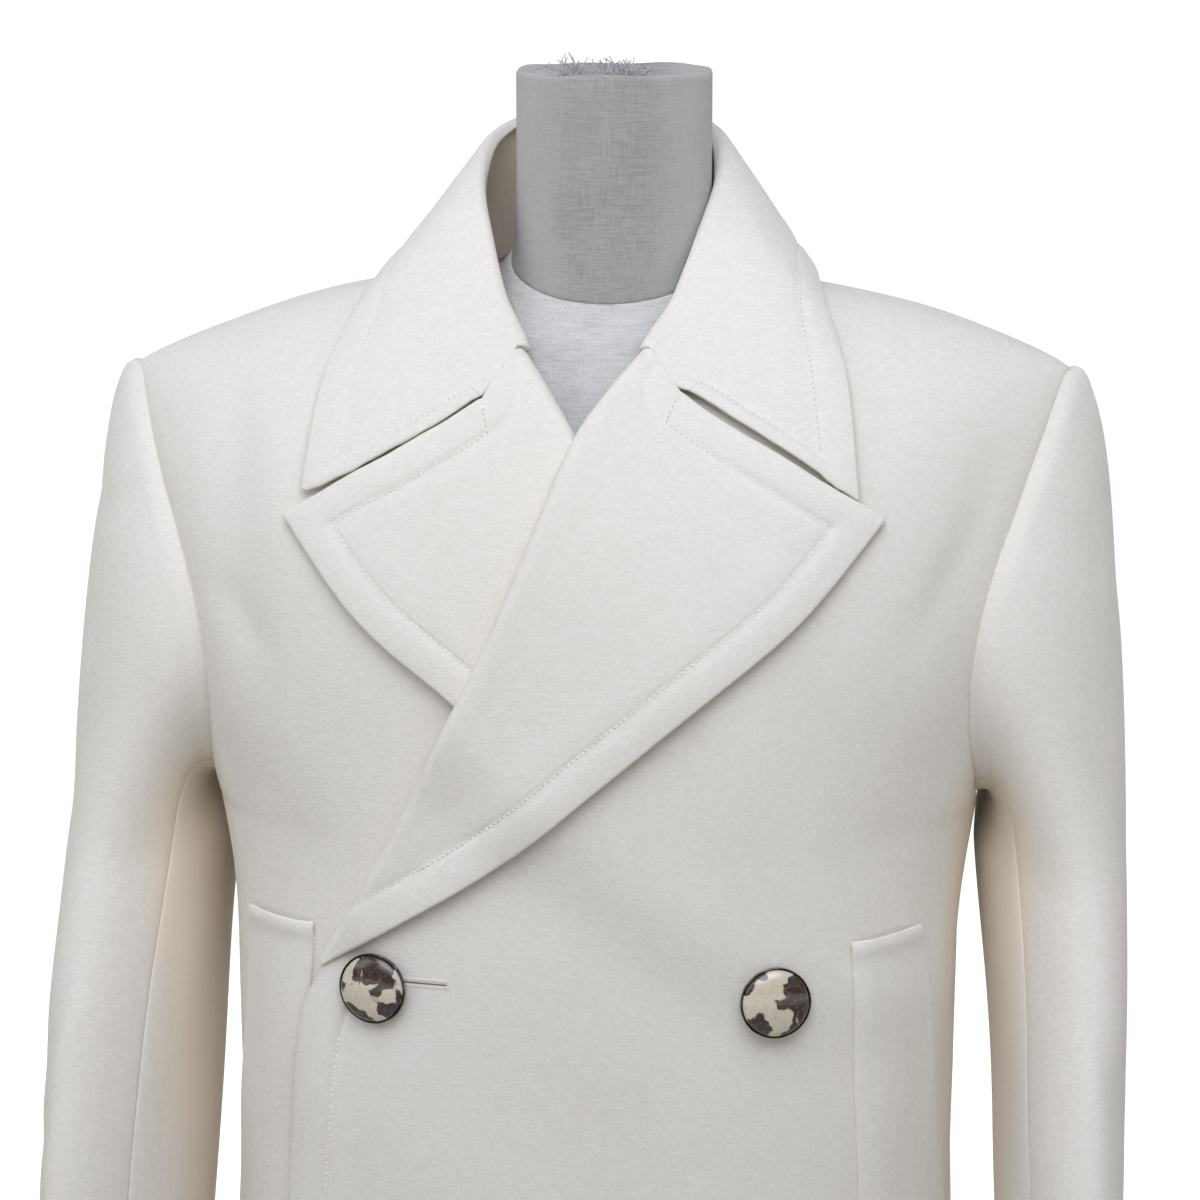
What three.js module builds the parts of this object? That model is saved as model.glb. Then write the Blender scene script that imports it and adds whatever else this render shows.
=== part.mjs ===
// Long double-breasted wool coat with a wide peaked lapel, shown on a limbless dress form.
// Millimetres, +Z up, the wearer faces -Y and the wearer's left side is +X.
// The origin lies on the floor, in the middle of the underside of the stand's base.
import * as THREE from 'three';

// Cloth
const clothWall = 2.6;
const lapelWall = 3.2;
const seamGap = 0.45;
const layerGap = 1.4;
const lapelGap = 2.3;
const collarGap = 3.6;
const sleeveGap = 0.8;
const overlapFade = 60;

// Body of the coat
const underarmZ = 1142;
const neckPointX = 78;
const neckPointZ = 1399.5;
const shoulderTipX = 232;
const shoulderSlope = 0.0842;
const shoulderDrop = 0.00133;
const backNeckRise = 48;
const chestHalfWidth = 190;
const chestFront = 135;
const chestBack = 132;
const chestSquareness = 2.5;
const waistSquareness = 3.05;
const waistZ = 990;
const armholeReach = 78;
const backNeckLevel = 0.9263;
const gorgeLevel = 0.875;
const shoulderSwell = 1.6;
const depthFall = 3;
const neckCurve = 0.95;
const backNeckCurve = 2.6;
const seamTrim = 0.0012;

// Half width and depths of the coat below the underarm
const bodySections = [
  { z: 300, halfWidth: 222, front: 172, back: 168 },
  { z: 500, halfWidth: 208, front: 163, back: 158 },
  { z: 700, halfWidth: 194, front: 154, back: 148 },
  { z: 850, halfWidth: 184, front: 147, back: 140 },
  { z: 920, halfWidth: 180, front: 143, back: 136 },
  { z: 1000, halfWidth: 179, front: 140, back: 132 },
  { z: 1090, halfWidth: 182.5, front: 137, back: 131.5 },
  { z: 1142, halfWidth: 190, front: 135, back: 132 },
  { z: 1170, halfWidth: 198, front: 134.5, back: 132 },
];

// Front edge of the left front from the hem to the break, then its roll line up to the gorge
const frontEdge = [
  { z: 300, x: -146 },
  { z: 600, x: -144 },
  { z: 850, x: -140 },
  { z: 955, x: -137 },
  { z: 1017, x: -133 },
  { z: 1050, x: -129.5 },
  { z: 1066, x: -125.5 },
  { z: 1080, x: -118.5 },
  { z: 1092, x: -112.5 },
  { z: 1136, x: -90 },
  { z: 1197, x: -61 },
  { z: 1254, x: -33.5 },
  { z: 1300, x: -13 },
  { z: 1332, x: 2 },
  { z: 1352, x: 16.5 },
  { z: 1370.5, x: 33 },
];

// Free outer edge of the lapel, from the break to the peak
const lapelEdge = [
  { x: -110, z: 1086 },
  { x: -80, z: 1105.8 },
  { x: -33, z: 1133 },
  { x: 13.5, z: 1164 },
  { x: 59, z: 1204 },
  { x: 103, z: 1251 },
  { x: 141, z: 1294 },
];
const lapelFootZ = 1095;
const gorge = { x: 33, z: 1370.5 };
const notch = { x: 47.5, z: 1353.5 };
const peak = { x: 141, z: 1294 };
const notchShare = 0.17;
const notchBendX = -2;
const notchBendLevel = -0.019;
const lapelEdgeCurve = 0.97;
const lapelTopPull = 5;

// Half of the collar, from the gorge round to the centre back.
// Neck and edge points lie on the coat: x and level, where a level above 1 counts back down
// behind the shoulder seam. The roll is where the stand turns over into the fall.
const collarStations = [
  { neckX: 33, neckLevel: 0.875, rollX: 33, rollY: -83, rollZ: 1376.5, edgeX: 130.5, edgeLevel: 0.661 },
  { neckX: 42, neckLevel: 0.905, rollX: 40, rollY: -64, rollZ: 1392, edgeX: 127.6, edgeLevel: 0.752 },
  { neckX: 52, neckLevel: 0.935, rollX: 47, rollY: -48, rollZ: 1411, edgeX: 124.3, edgeLevel: 0.83 },
  { neckX: 63, neckLevel: 0.965, rollX: 53, rollY: -30, rollZ: 1429, edgeX: 119.5, edgeLevel: 0.9 },
  { neckX: 72, neckLevel: 0.99, rollX: 58.5, rollY: -10, rollZ: 1443, edgeX: 114.5, edgeLevel: 0.955 },
  { neckX: 78, neckLevel: 1.0, rollX: 61, rollY: 8, rollZ: 1453, edgeX: 110.5, edgeLevel: 1.0 },
  { neckX: 74, neckLevel: 1.0095, rollX: 61, rollY: 25, rollZ: 1461, edgeX: 105.5, edgeLevel: 1.026 },
  { neckX: 64, neckLevel: 1.0296, rollX: 55, rollY: 43, rollZ: 1467, edgeX: 94, edgeLevel: 1.045 },
  { neckX: 48, neckLevel: 1.0528, rollX: 43, rollY: 55, rollZ: 1471, edgeX: 74, edgeLevel: 1.064 },
  { neckX: 25, neckLevel: 1.07, rollX: 24, rollY: 63, rollZ: 1473, edgeX: 38, edgeLevel: 1.143 },
  { neckX: 0, neckLevel: 1.0737, rollX: 0, rollY: 66, rollZ: 1474, edgeX: 0, edgeLevel: 1.207 },
];

const fallEnd = 0.09;
const fallDrop = 1.5;
const standStart = 1.25;
const standFootGap = 3.2;
const standTopGap = 0.9;

// Two-piece sleeves: flattened ovals below the armhole, their front edges turned outward
const underSleeveZ = 1110;
const cuffZ = 765;
const sleeveSections = [
  { z: cuffZ, x: 235, y: -99, halfWidth: 25, halfDepth: 64, turn: -20 },
  { z: 850, x: 234, y: -88, halfWidth: 25, halfDepth: 69, turn: -20 },
  { z: 935, x: 231.5, y: -72, halfWidth: 25.5, halfDepth: 74, turn: -20 },
  { z: 1035, x: 229, y: -43, halfWidth: 27.5, halfDepth: 75, turn: -19 },
  { z: underSleeveZ, x: 226, y: -14, halfWidth: 32, halfDepth: 75, turn: -16 },
];
const sleeveRows = [underSleeveZ, 1050, 985, 915, 840, cuffZ];
const sleeveTrim = 0.008;
const capRows = [0, 0.1, 0.24, 0.4, 0.6, 0.8];
const topFrontLevels = [0.98, 0.95, 0.875, 0.73, 0.56, 0.38, 0.2, 0.12, 0.06];
const topBackLevels = [0.98, 0.95, 0.9, 0.75, 0.56, 0.42, 0.29];
const underFrontLevels = [0.06, 0.02];
const underBackLevels = [0.29, 0.2, 0.12, 0.06, 0.02];

// Pocket welts stand upright on the fronts, sewn along the inner side
const pocketTopZ = 1100;
const pocketFootZ = 925;
const pocketInnerX = 125.5;
const pocketOuterX = 159.5;
const pocketInnerLean = 0.06;
const pocketOuterLean = 0.085;

// Buttons in two rows of two
const buttonRadius = 17;
const buttons = [
  { name: 'button_left_1', x: 93, z: 1074, shank: -0.25 },
  { name: 'button_right_1', x: -93, z: 1074, shank: 0.15 },
  { name: 'button_left_2', x: 93, z: 910, shank: 0.35 },
  { name: 'button_right_2', x: -93, z: 910, shank: 0.25 },
];

// Dress form and stand
const formNeckX = 7;
const formNeckTop = 1500;
const formFootZ = 835;
const neckSeamTilt = 0.287;
const neckSeamZ = 1408.5;
const baseRadius = 170;
const baseHeight = 14;
const poleRadius = 11;

const degree = Math.PI / 180;
const wool = { color: 0xeee9dc, roughness: 0.95, metalness: 0 };
const linen = { color: 0xc9c6bf, roughness: 0.9, metalness: 0 };
const gunmetal = { color: 0x4c4743, roughness: 0.35, metalness: 0.9 };
const enamel = { color: 0x3a2d28, roughness: 0.2, metalness: 0.1 };
const steel = { color: 0x9a9a98, roughness: 0.35, metalness: 1 };
const timber = { color: 0xa98258, roughness: 0.6, metalness: 0 };

const coat = new THREE.Group();

// A smooth curve through one column of a table whose rows rise in the named key
function along(table, key, at, column) {
  const last = table.length - 1;
  let row = 0;
  while (row < last - 1 && at > table[row + 1][key]) row += 1;
  const slope = (index) => {
    const before = table[Math.max(index - 1, 0)];
    const after = table[Math.min(index + 1, last)];
    return (after[column] - before[column]) / (after[key] - before[key]);
  };
  const width = table[row + 1][key] - table[row][key];
  const part = THREE.MathUtils.clamp((at - table[row][key]) / width, 0, 1);
  const rise = slope(row) * width * part * (1 - part) ** 2;
  const fall = slope(row + 1) * width * part * part * (1 - part);
  const blend = part * part * (3 - 2 * part);
  return table[row][column] * (1 - blend) + table[row + 1][column] * blend + rise - fall;
}

function signedPower(value, power) {
  return Math.sign(value) * Math.abs(value) ** power;
}

function shoulderZ(x, isBack) {
  const out = Math.abs(x) - neckPointX;
  if (out >= 0) return neckPointZ - shoulderSlope * out - shoulderDrop * out * out;
  if (!isBack) return neckPointZ - shoulderSlope * out;
  return neckPointZ + backNeckRise * THREE.MathUtils.smoothstep(-out / neckPointX, 0, 1);
}

// A level below 0 is millimetres under the underarm; from 0 to 1 it climbs to the shoulder seam
function section(level) {
  if (level < 0) {
    const z = underarmZ + level;
    return {
      halfWidth: along(bodySections, 'z', z, 'halfWidth'),
      front: along(bodySections, 'z', z, 'front'),
      back: along(bodySections, 'z', z, 'back'),
      squareness: waistSquareness
        + (chestSquareness - waistSquareness) * THREE.MathUtils.smoothstep(z, waistZ, underarmZ),
    };
  }
  const left = Math.max(0, 1 - level);
  const flatten = Math.sqrt(Math.max(0, 1 - level ** depthFall));
  return {
    halfWidth: chestHalfWidth + (shoulderTipX - chestHalfWidth) * (1 - left ** shoulderSwell),
    front: chestFront * flatten,
    back: chestBack * flatten,
    squareness: chestSquareness,
  };
}

function bodyPoint(angle, level) {
  const ring = section(level);
  const ahead = Math.cos(angle);
  const isBack = ahead < 0;
  const x = ring.halfWidth * signedPower(Math.sin(angle), 2 / ring.squareness);
  const y = -(isBack ? ring.back : ring.front) * signedPower(ahead, 2 / ring.squareness);
  const z = underarmZ + (level < 0 ? level : level * (shoulderZ(x, isBack) - underarmZ));
  return new THREE.Vector3(x, y, z);
}

function bodyNormal(angle, level) {
  if (level > 0.998) {
    const x = bodyPoint(angle, 1).x;
    const slope = shoulderZ(x + 0.5, false) - shoulderZ(x - 0.5, false);
    return new THREE.Vector3(-slope, 0, 1).normalize();
  }
  const turn = 0.004;
  const step = level < 0 ? 0.5 : 0.0015;
  const across = bodyPoint(angle + turn, level).sub(bodyPoint(angle - turn, level));
  const up = bodyPoint(angle, level + step).sub(bodyPoint(angle, level - step));
  return across.cross(up).normalize();
}

// A point of the coat's surface moved outward, with the direction out
function skin(angle, level, out = 0) {
  const normal = bodyNormal(angle, level);
  return { point: bodyPoint(angle, level).addScaledVector(normal, out), normal };
}

function angleAt(x, level, isBack = false) {
  const ring = section(level);
  const ratio = Math.min(1, Math.abs(x) / ring.halfWidth);
  const angle = Math.sign(x) * Math.asin(ratio ** (ring.squareness / 2));
  return isBack ? Math.PI * Math.sign(x || 1) - angle : angle;
}

function levelAt(x, z) {
  return z < underarmZ ? z - underarmZ : (z - underarmZ) / (shoulderZ(x, false) - underarmZ);
}

function frontSkin(x, z, out) {
  const level = levelAt(x, z);
  return skin(angleAt(x, level), level, out);
}

// The armhole, seen from the side, is an egg that is widest low down
function armholeAngle(level, isBack) {
  if (level <= 0) return Math.PI / 2;
  if (level >= 1) return Math.PI / 2;
  const reach = armholeReach * Math.sin(Math.PI * level ** 0.7) ** 0.7;
  const depth = isBack ? section(level).back : section(level).front;
  const angle = Math.acos((reach / depth) ** (chestSquareness / 2));
  return isBack ? Math.PI - angle : angle;
}

function mirrored(grid) {
  const flip = (v) => new THREE.Vector3(-v.x, v.y, v.z);
  return grid.map((row) => row.map((spot) => ({ point: flip(spot.point), normal: flip(spot.normal) })));
}

function signedVolume(points, faces) {
  let volume = 0;
  for (const [a, b, c] of faces) {
    volume += points[a].dot(new THREE.Vector3().crossVectors(points[b], points[c])) / 6;
  }
  return volume;
}

function solid(points, faces) {
  const outward = signedVolume(points, faces) > 0;
  const order = outward ? faces : faces.map(([a, b, c]) => [a, c, b]);
  const geometry = new THREE.BufferGeometry();
  geometry.setAttribute('position', new THREE.Float32BufferAttribute(points.flatMap((p) => p.toArray()), 3));
  geometry.setIndex(order.flat());
  geometry.computeVertexNormals();
  return geometry;
}

// A sheet of cloth: the grid is its outer face, and the inner face lies one wall behind it
function wall(grid, thickness) {
  const rows = grid.length;
  const columns = grid[0].length;
  const outer = grid.flat().map((spot) => spot.point);
  const inner = grid.flat().map((spot) => spot.point.clone().addScaledVector(spot.normal, -thickness));
  const points = [...outer, ...inner];
  const faces = [];
  const quad = (a, b, c, d) => faces.push([a, b, c], [a, c, d]);
  const shift = outer.length;
  const at = (row, column) => row * columns + column;
  for (let row = 0; row < rows - 1; row += 1) {
    for (let column = 0; column < columns - 1; column += 1) {
      const corners = [at(row, column), at(row, column + 1), at(row + 1, column + 1), at(row + 1, column)];
      const split = column < (columns - 1) / 2 ? corners : [...corners.slice(1), corners[0]];
      quad(...split);
      quad(...split.reverse().map((index) => index + shift));
    }
  }
  const rim = (a, b) => quad(b, a, a + shift, b + shift);
  const mirroredRim = (a, b) => quad(a, a + shift, b + shift, b);
  for (let column = 0; column < columns - 1; column += 1) {
    rim(at(0, column), at(0, column + 1));
    rim(at(rows - 1, column + 1), at(rows - 1, column));
  }
  for (let row = 0; row < rows - 1; row += 1) {
    mirroredRim(at(row + 1, 0), at(row, 0));
    rim(at(row, columns - 1), at(row + 1, columns - 1));
  }
  return solid(points, faces);
}

// A solid through closed rings, with flat caps at both ends
function loft(rings) {
  const sides = rings[0].length;
  const points = rings.flat();
  const faces = [];
  for (let ring = 0; ring < rings.length - 1; ring += 1) {
    for (let side = 0; side < sides; side += 1) {
      const a = ring * sides + side;
      const b = ring * sides + ((side + 1) % sides);
      faces.push([a, b, b + sides], [a, b + sides, a + sides]);
    }
  }
  const cap = (ring, isTop) => {
    const middle = rings[ring].reduce((sum, p) => sum.add(p), new THREE.Vector3()).divideScalar(sides);
    const centre = points.push(middle) - 1;
    for (let side = 0; side < sides; side += 1) {
      const a = ring * sides + side;
      const b = ring * sides + ((side + 1) % sides);
      faces.push(isTop ? [a, b, centre] : [b, a, centre]);
    }
  };
  cap(0, false);
  cap(rings.length - 1, true);
  return solid(points, faces);
}

function add(name, geometry, look) {
  const mesh = new THREE.Mesh(geometry, new THREE.MeshStandardMaterial(look));
  mesh.name = name;
  coat.add(mesh);
  return mesh;
}

function steps(count) {
  return Array.from({ length: count + 1 }, (_, index) => index / count);
}

// How far the left front stands off the coat's surface, because the right front lies under it
function overlap(x, z) {
  const rightEdge = -along(frontEdge, 'z', z, 'x');
  const overFront = 1 - THREE.MathUtils.smoothstep(x, rightEdge + 2, rightEdge + 2 + overlapFade);
  const rightLapelFoot = along(lapelEdge, 'x', -x, 'z');
  const insideLapel = THREE.MathUtils.smoothstep(z, rightLapelFoot - 3 - overlapFade, rightLapelFoot - 3);
  const besideEdge = THREE.MathUtils.smoothstep(-x, 104, 121);
  const besidePocket = THREE.MathUtils.smoothstep(z, pocketFootZ - 100, pocketFootZ - 30)
    * (1 - THREE.MathUtils.smoothstep(z, pocketTopZ + 5, pocketTopZ + 30));
  const frontLayer = overFront * (clothWall + layerGap);
  const lapelLayer = z > lapelFootZ - 40 ? overFront * insideLapel * (lapelWall + lapelGap) : 0;
  return frontLayer + lapelLayer + besideEdge * besidePocket * (clothWall + layerGap);
}

const hemRows = [300, 450, 620, 780, 900, 985, 1035, 1066, 1092, 1116];
const chestRows = [0, 0.02, 0.06, 0.12, 0.2, 0.29, 0.38, 0.47, 0.56, 0.65, 0.73, 0.79, 0.835, gorgeLevel];
const shoulderRows = [0.915, 0.95, 0.98, 1];
const backHemRows = [300, 450, 620, 780, 900, 985, 1060, 1116];
const backRows = [0, 0.02, 0.06, 0.12, 0.2, 0.29, 0.42, 0.56, 0.65, 0.75, 0.835, 0.9, 0.95, 0.98, 1];

function frontEdgeX(level) {
  if (level > gorgeLevel) {
    const rise = (level - gorgeLevel) / (1 - gorgeLevel);
    return gorge.x + (neckPointX - gorge.x) * rise ** neckCurve;
  }
  const z = underarmZ + (level < 0 ? level : level * (neckPointZ - underarmZ));
  return along(frontEdge, 'z', z, 'x');
}

function frontGrid(standOff) {
  const levels = [...hemRows.map((z) => z - underarmZ), ...chestRows, ...shoulderRows];
  return levels.map((level) => {
    const start = angleAt(frontEdgeX(level), level);
    const end = armholeAngle(level, false) - seamTrim;
    return steps(16).map((part) => {
      const angle = start + (end - start) * part;
      const base = bodyPoint(angle, level);
      return skin(angle, level, standOff(base.x, base.z));
    });
  });
}

function trimShoulder(grid, sign) {
  const top = grid[grid.length - 1];
  for (const spot of top) spot.point.y += sign * seamGap * 0.5;
  return grid;
}

add('front_left', wall(trimShoulder(frontGrid(overlap), -1), clothWall), wool);
add('front_right', wall(mirrored(trimShoulder(frontGrid(() => 0), -1)), clothWall), wool);

// The back is one panel from side seam to side seam, with the neckline cut into its top
function backGrid() {
  const half = [0, 0.06, 0.115, 0.165, 0.27, 0.38, 0.5, 0.62, 0.75, 0.88, 1];
  const shares = [...half.slice(1).reverse().map((share) => -share), ...half];
  const topLevel = (x) => {
    const inside = Math.min(1, Math.abs(x) / neckPointX);
    return backNeckLevel + (1 - backNeckLevel) * inside ** backNeckCurve;
  };
  const place = (share, level, out = 0) => {
    const side = armholeAngle(level, true) + seamTrim;
    const turn = (Math.PI - side) * share;
    return skin(Math.PI - turn, level, out);
  };
  const rows = [...backHemRows.map((z) => z - underarmZ), ...backRows];
  return rows.map((level) => shares.map((share) => {
    if (level <= 0) return place(share, level);
    let top = 1;
    for (let pass = 0; pass < 4; pass += 1) top = topLevel(place(share, top).point.x);
    return place(share, level * top);
  }));
}

add('back', wall(trimShoulder(backGrid(), 1), clothWall), wool);

// Lapels are turned back over the fronts along the roll line
function lapelGrid(standOff) {
  const corner = (from, to, part) => ({
    x: from.x + (to.x - from.x) * part,
    z: from.z + (to.z - from.z) * part,
  });
  const columns = steps(6);
  const gorgeShare = 1 / 6;
  const topEdge = (part) => (part <= gorgeShare
    ? corner(gorge, notch, part / gorgeShare)
    : corner(notch, peak, (part - gorgeShare) / (1 - gorgeShare)));
  return steps(15).map((up) => {
    const rollZ = lapelFootZ + (gorge.z - lapelFootZ) * up;
    const roll = { x: along(frontEdge, 'z', rollZ, 'x'), z: rollZ };
    const edgeX = lapelEdge[0].x + (peak.x - lapelEdge[0].x) * up ** lapelEdgeCurve;
    const edge = { x: edgeX, z: along(lapelEdge, 'x', edgeX, 'z') };
    return columns.map((across) => {
      const straight = corner(roll, edge, across);
      const top = corner(gorge, peak, across);
      const bent = topEdge(across);
      const pull = up ** lapelTopPull;
      const x = straight.x + (bent.x - top.x) * pull;
      const z = straight.z + (bent.z - top.z) * pull;
      return frontSkin(x, z, standOff(x, z) + lapelGap + lapelWall);
    });
  });
}

add('lapel_left', wall(lapelGrid(overlap), lapelWall), wool);
add('lapel_right', wall(mirrored(lapelGrid(() => 0)), lapelWall), wool);

// Collar: stations run from one gorge round the back of the neck to the other
const stationRows = collarStations.map((station, index) => ({ at: index, ...station }));
const centreBack = stationRows.length - 1;

function stationValue(station, key) {
  return along(stationRows, 'at', station, key);
}

function rollPoint(station) {
  return new THREE.Vector3(...['rollX', 'rollY', 'rollZ'].map((key) => stationValue(station, key)));
}

// A spot on the coat under the collar, a share of the way from the neck seam to the free edge
function collarGround(station, share, out) {
  const between = (key) => stationValue(station, `neck${key}`) * (1 - share)
    + stationValue(station, `edge${key}`) * share;
  let x = between('X');
  let level = between('Level');
  if (station < 2) {
    const bend = (1 - station / 2) ** 3 * Math.min(share / notchShare, (1 - share) / (1 - notchShare));
    x += bend * notchBendX;
    level += bend * notchBendLevel;
  }
  const isBack = level > 1;
  const climb = isBack ? 2 - level : level;
  return skin(angleAt(x, climb, isBack), climb, out);
}

// The fall leaves the roll level, then drops to its free edge, which lies on the coat
function fallPoint(place, share) {
  const station = place > centreBack ? 2 * centreBack - place : place;
  const out = collarGap + lapelWall;
  const ground = collarGround(station, share, out).point;
  const lift = rollPoint(station).sub(collarGround(station, 0, out).point);
  ground.addScaledVector(lift, 1 - share ** fallDrop);
  if (place > centreBack) ground.x *= -1;
  return ground;
}

// The stand rises from the neck seam and ends just under the fall, leaning in towards the neck
function standPoint(place, share) {
  const station = place > centreBack ? 2 * centreBack - place : place;
  const foot = collarGround(station, 0.03, standFootGap).point;
  const ahead = fallPoint(station + 0.05, 0).sub(fallPoint(station - 0.05, 0));
  const over = fallPoint(station, 0.04).sub(fallPoint(station, 0));
  const down = ahead.cross(over).normalize();
  const top = rollPoint(station).addScaledVector(down, lapelWall + standTopGap);
  const spot = foot.lerp(top, share);
  if (place > centreBack) spot.x *= -1;
  return spot;
}

function gridOf(place, us, vs) {
  const step = 0.01;
  return us.map((u) => vs.map((v) => {
    const acrossU = place(u + step, v).sub(place(u - step, v));
    const acrossV = place(u, Math.min(1, v + step)).sub(place(u, Math.max(0, v - step)));
    return { point: place(u, v), normal: acrossV.cross(acrossU).normalize() };
  }));
}

function spread(from, to, count) {
  return steps(count).map((part) => from + (to - from) * part);
}

const fallPlaces = spread(fallEnd, 2 * centreBack - fallEnd, 22);
add('collar_fall', wall(gridOf(fallPoint, fallPlaces, steps(6)), lapelWall), wool);
const standPlaces = spread(standStart, 2 * centreBack - standStart, 20);
add('collar_stand', wall(gridOf(standPoint, standPlaces, steps(2)), -clothWall), wool);

const swing = 0.01;

// Sleeves: turn 0 faces out from the shoulder, 90 the front, 180 the body and -90 the back
function armholeSpot(turn) {
  const level = (1 + Math.cos(turn)) / 2;
  return skin(armholeAngle(level, Math.sin(turn) < 0), level);
}

function sleeveRing(turn, z) {
  const at = (key) => along(sleeveSections, 'z', z, key);
  const yaw = at('turn') * degree;
  const lateral = at('halfWidth') * Math.cos(turn);
  const forward = at('halfDepth') * Math.sin(turn);
  const x = at('x') + lateral * Math.cos(yaw) - forward * Math.sin(yaw);
  const y = at('y') - lateral * Math.sin(yaw) - forward * Math.cos(yaw);
  return new THREE.Vector3(x, y, z);
}

function hermite(start, startPull, end, endPull, part) {
  const square = part * part;
  const cube = square * part;
  return new THREE.Vector3()
    .addScaledVector(start, 2 * cube - 3 * square + 1)
    .addScaledVector(startPull, cube - 2 * square + part)
    .addScaledVector(end, 3 * square - 2 * cube)
    .addScaledVector(endPull, cube - square);
}

// The sleeve's first ring stands just off the armhole; under the arm it sits on the panels' rim
function sleeveStart(turn) {
  const spot = armholeSpot(turn);
  const seam = armholeSpot(turn + swing).point.sub(armholeSpot(turn - swing).point);
  const off = spot.normal.clone().cross(seam).normalize();
  const under = THREE.MathUtils.smoothstep(Math.abs(turn), 115 * degree, 165 * degree);
  const point = spot.point.clone().addScaledVector(off, sleeveGap);
  point.addScaledVector(spot.normal, -clothWall * under);
  const normal = spot.normal.clone().multiplyScalar(1 - under).addScaledVector(off, -under).normalize();
  return { point, normal };
}

function sleevePoint(turn, row) {
  if (row >= 1) return sleeveRing(turn, underSleeveZ + (row - 1) * (cuffZ - underSleeveZ));
  const high = Math.cos(turn);
  const front = Math.sin(turn);
  const out = 60 + 15 * high;
  const rise = high > 0 ? -25 * high : -30 * high;
  const startPull = new THREE.Vector3(out, -35 * front, rise);
  const endPull = sleeveRing(turn, underSleeveZ - 5).sub(sleeveRing(turn, underSleeveZ));
  endPull.multiplyScalar((145 + 105 * high) / 5);
  return hermite(sleeveStart(turn).point, startPull, sleeveRing(turn, underSleeveZ), endPull, row);
}

// The turn round the sleeve that starts at a level of the armhole
function turnAt(level) {
  return Math.acos(2 * level - 1);
}

function sleeveGrid(turns) {
  const rows = [...capRows, ...sleeveRows.map((z) => 1 + (underSleeveZ - z) / (underSleeveZ - cuffZ))];
  const step = 0.004;
  const ends = [turns[0] + sleeveTrim, turns[turns.length - 1] - sleeveTrim];
  const trimmed = [ends[0], ...turns.slice(1, -1), ends[1]];
  return rows.map((row) => trimmed.map((turn) => {
    if (row === 0) return sleeveStart(turn);
    const around = sleevePoint(turn + swing, row).sub(sleevePoint(turn - swing, row));
    const down = sleevePoint(turn, row + step).sub(sleevePoint(turn, row - step));
    return { point: sleevePoint(turn, row), normal: around.cross(down).normalize() };
  }));
}

const sleeveTop = sleeveGrid([
  ...topBackLevels.map((level) => -turnAt(level)).reverse(), 0, ...topFrontLevels.map(turnAt),
]);
const sleeveUnder = sleeveGrid([
  ...underFrontLevels.map(turnAt), Math.PI,
  ...underBackLevels.map((level) => 2 * Math.PI - turnAt(level)).reverse(),
]);
add('sleeve_top_left', wall(sleeveTop, clothWall), wool);
add('sleeve_top_right', wall(mirrored(sleeveTop), clothWall), wool);
add('sleeve_under_left', wall(sleeveUnder, clothWall), wool);
add('sleeve_under_right', wall(mirrored(sleeveUnder), clothWall), wool);

// Pocket welts lie a layer above the front, sewn along the inner side
function pocketGrid(standOff) {
  return spread(pocketTopZ, pocketFootZ, 6).map((z) => {
    const innerX = pocketInnerX + (pocketTopZ - z) * pocketInnerLean;
    const outerX = pocketOuterX + (pocketTopZ - z) * pocketOuterLean;
    const level = levelAt(innerX, z);
    return spread(angleAt(innerX, level), angleAt(outerX, level), 4).map((angle) => {
      const base = bodyPoint(angle, level);
      return skin(angle, level, standOff(base.x, base.z) + layerGap + clothWall);
    });
  });
}

add('pocket_welt_left', wall(pocketGrid(overlap), clothWall), wool);
add('pocket_welt_right', wall(mirrored(pocketGrid(() => 0)), clothWall), wool);

// Buttons: a metal shell with a shank, and an enamelled dome set into it
function turned(profile) {
  const points = profile.map(([radius, height]) => new THREE.Vector2(radius, height));
  return new THREE.LatheGeometry(points, 20);
}

function addButton({ name, x, z, shank }) {
  const spot = frontSkin(x, z, overlap(x, z));
  const shell = turned([
    [0, shank], [4, shank], [4, shank + 2], [buttonRadius - 3, shank + 2], [buttonRadius, shank + 4],
    [buttonRadius, shank + 5.4], [buttonRadius - 1.2, shank + 6], [buttonRadius - 1.6, shank + 4.6],
    [0, shank + 4.6],
  ]);
  const domeRadius = buttonRadius - 2;
  const dome = turned([
    [0, shank + 5], [domeRadius, shank + 5], [domeRadius * 0.93, shank + 6.6],
    [domeRadius * 0.75, shank + 8.1], [domeRadius * 0.45, shank + 9.3], [0, shank + 9.9],
  ]);
  const up = new THREE.Vector3(0, 1, 0);
  for (const [suffix, geometry, look] of [['shell', shell, gunmetal], ['dome', dome, enamel]]) {
    const mesh = add(`${name}_${suffix}`, geometry, look);
    mesh.position.copy(spot.point);
    mesh.quaternion.setFromUnitVectors(up, spot.normal);
  }
}

buttons.forEach(addButton);

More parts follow.
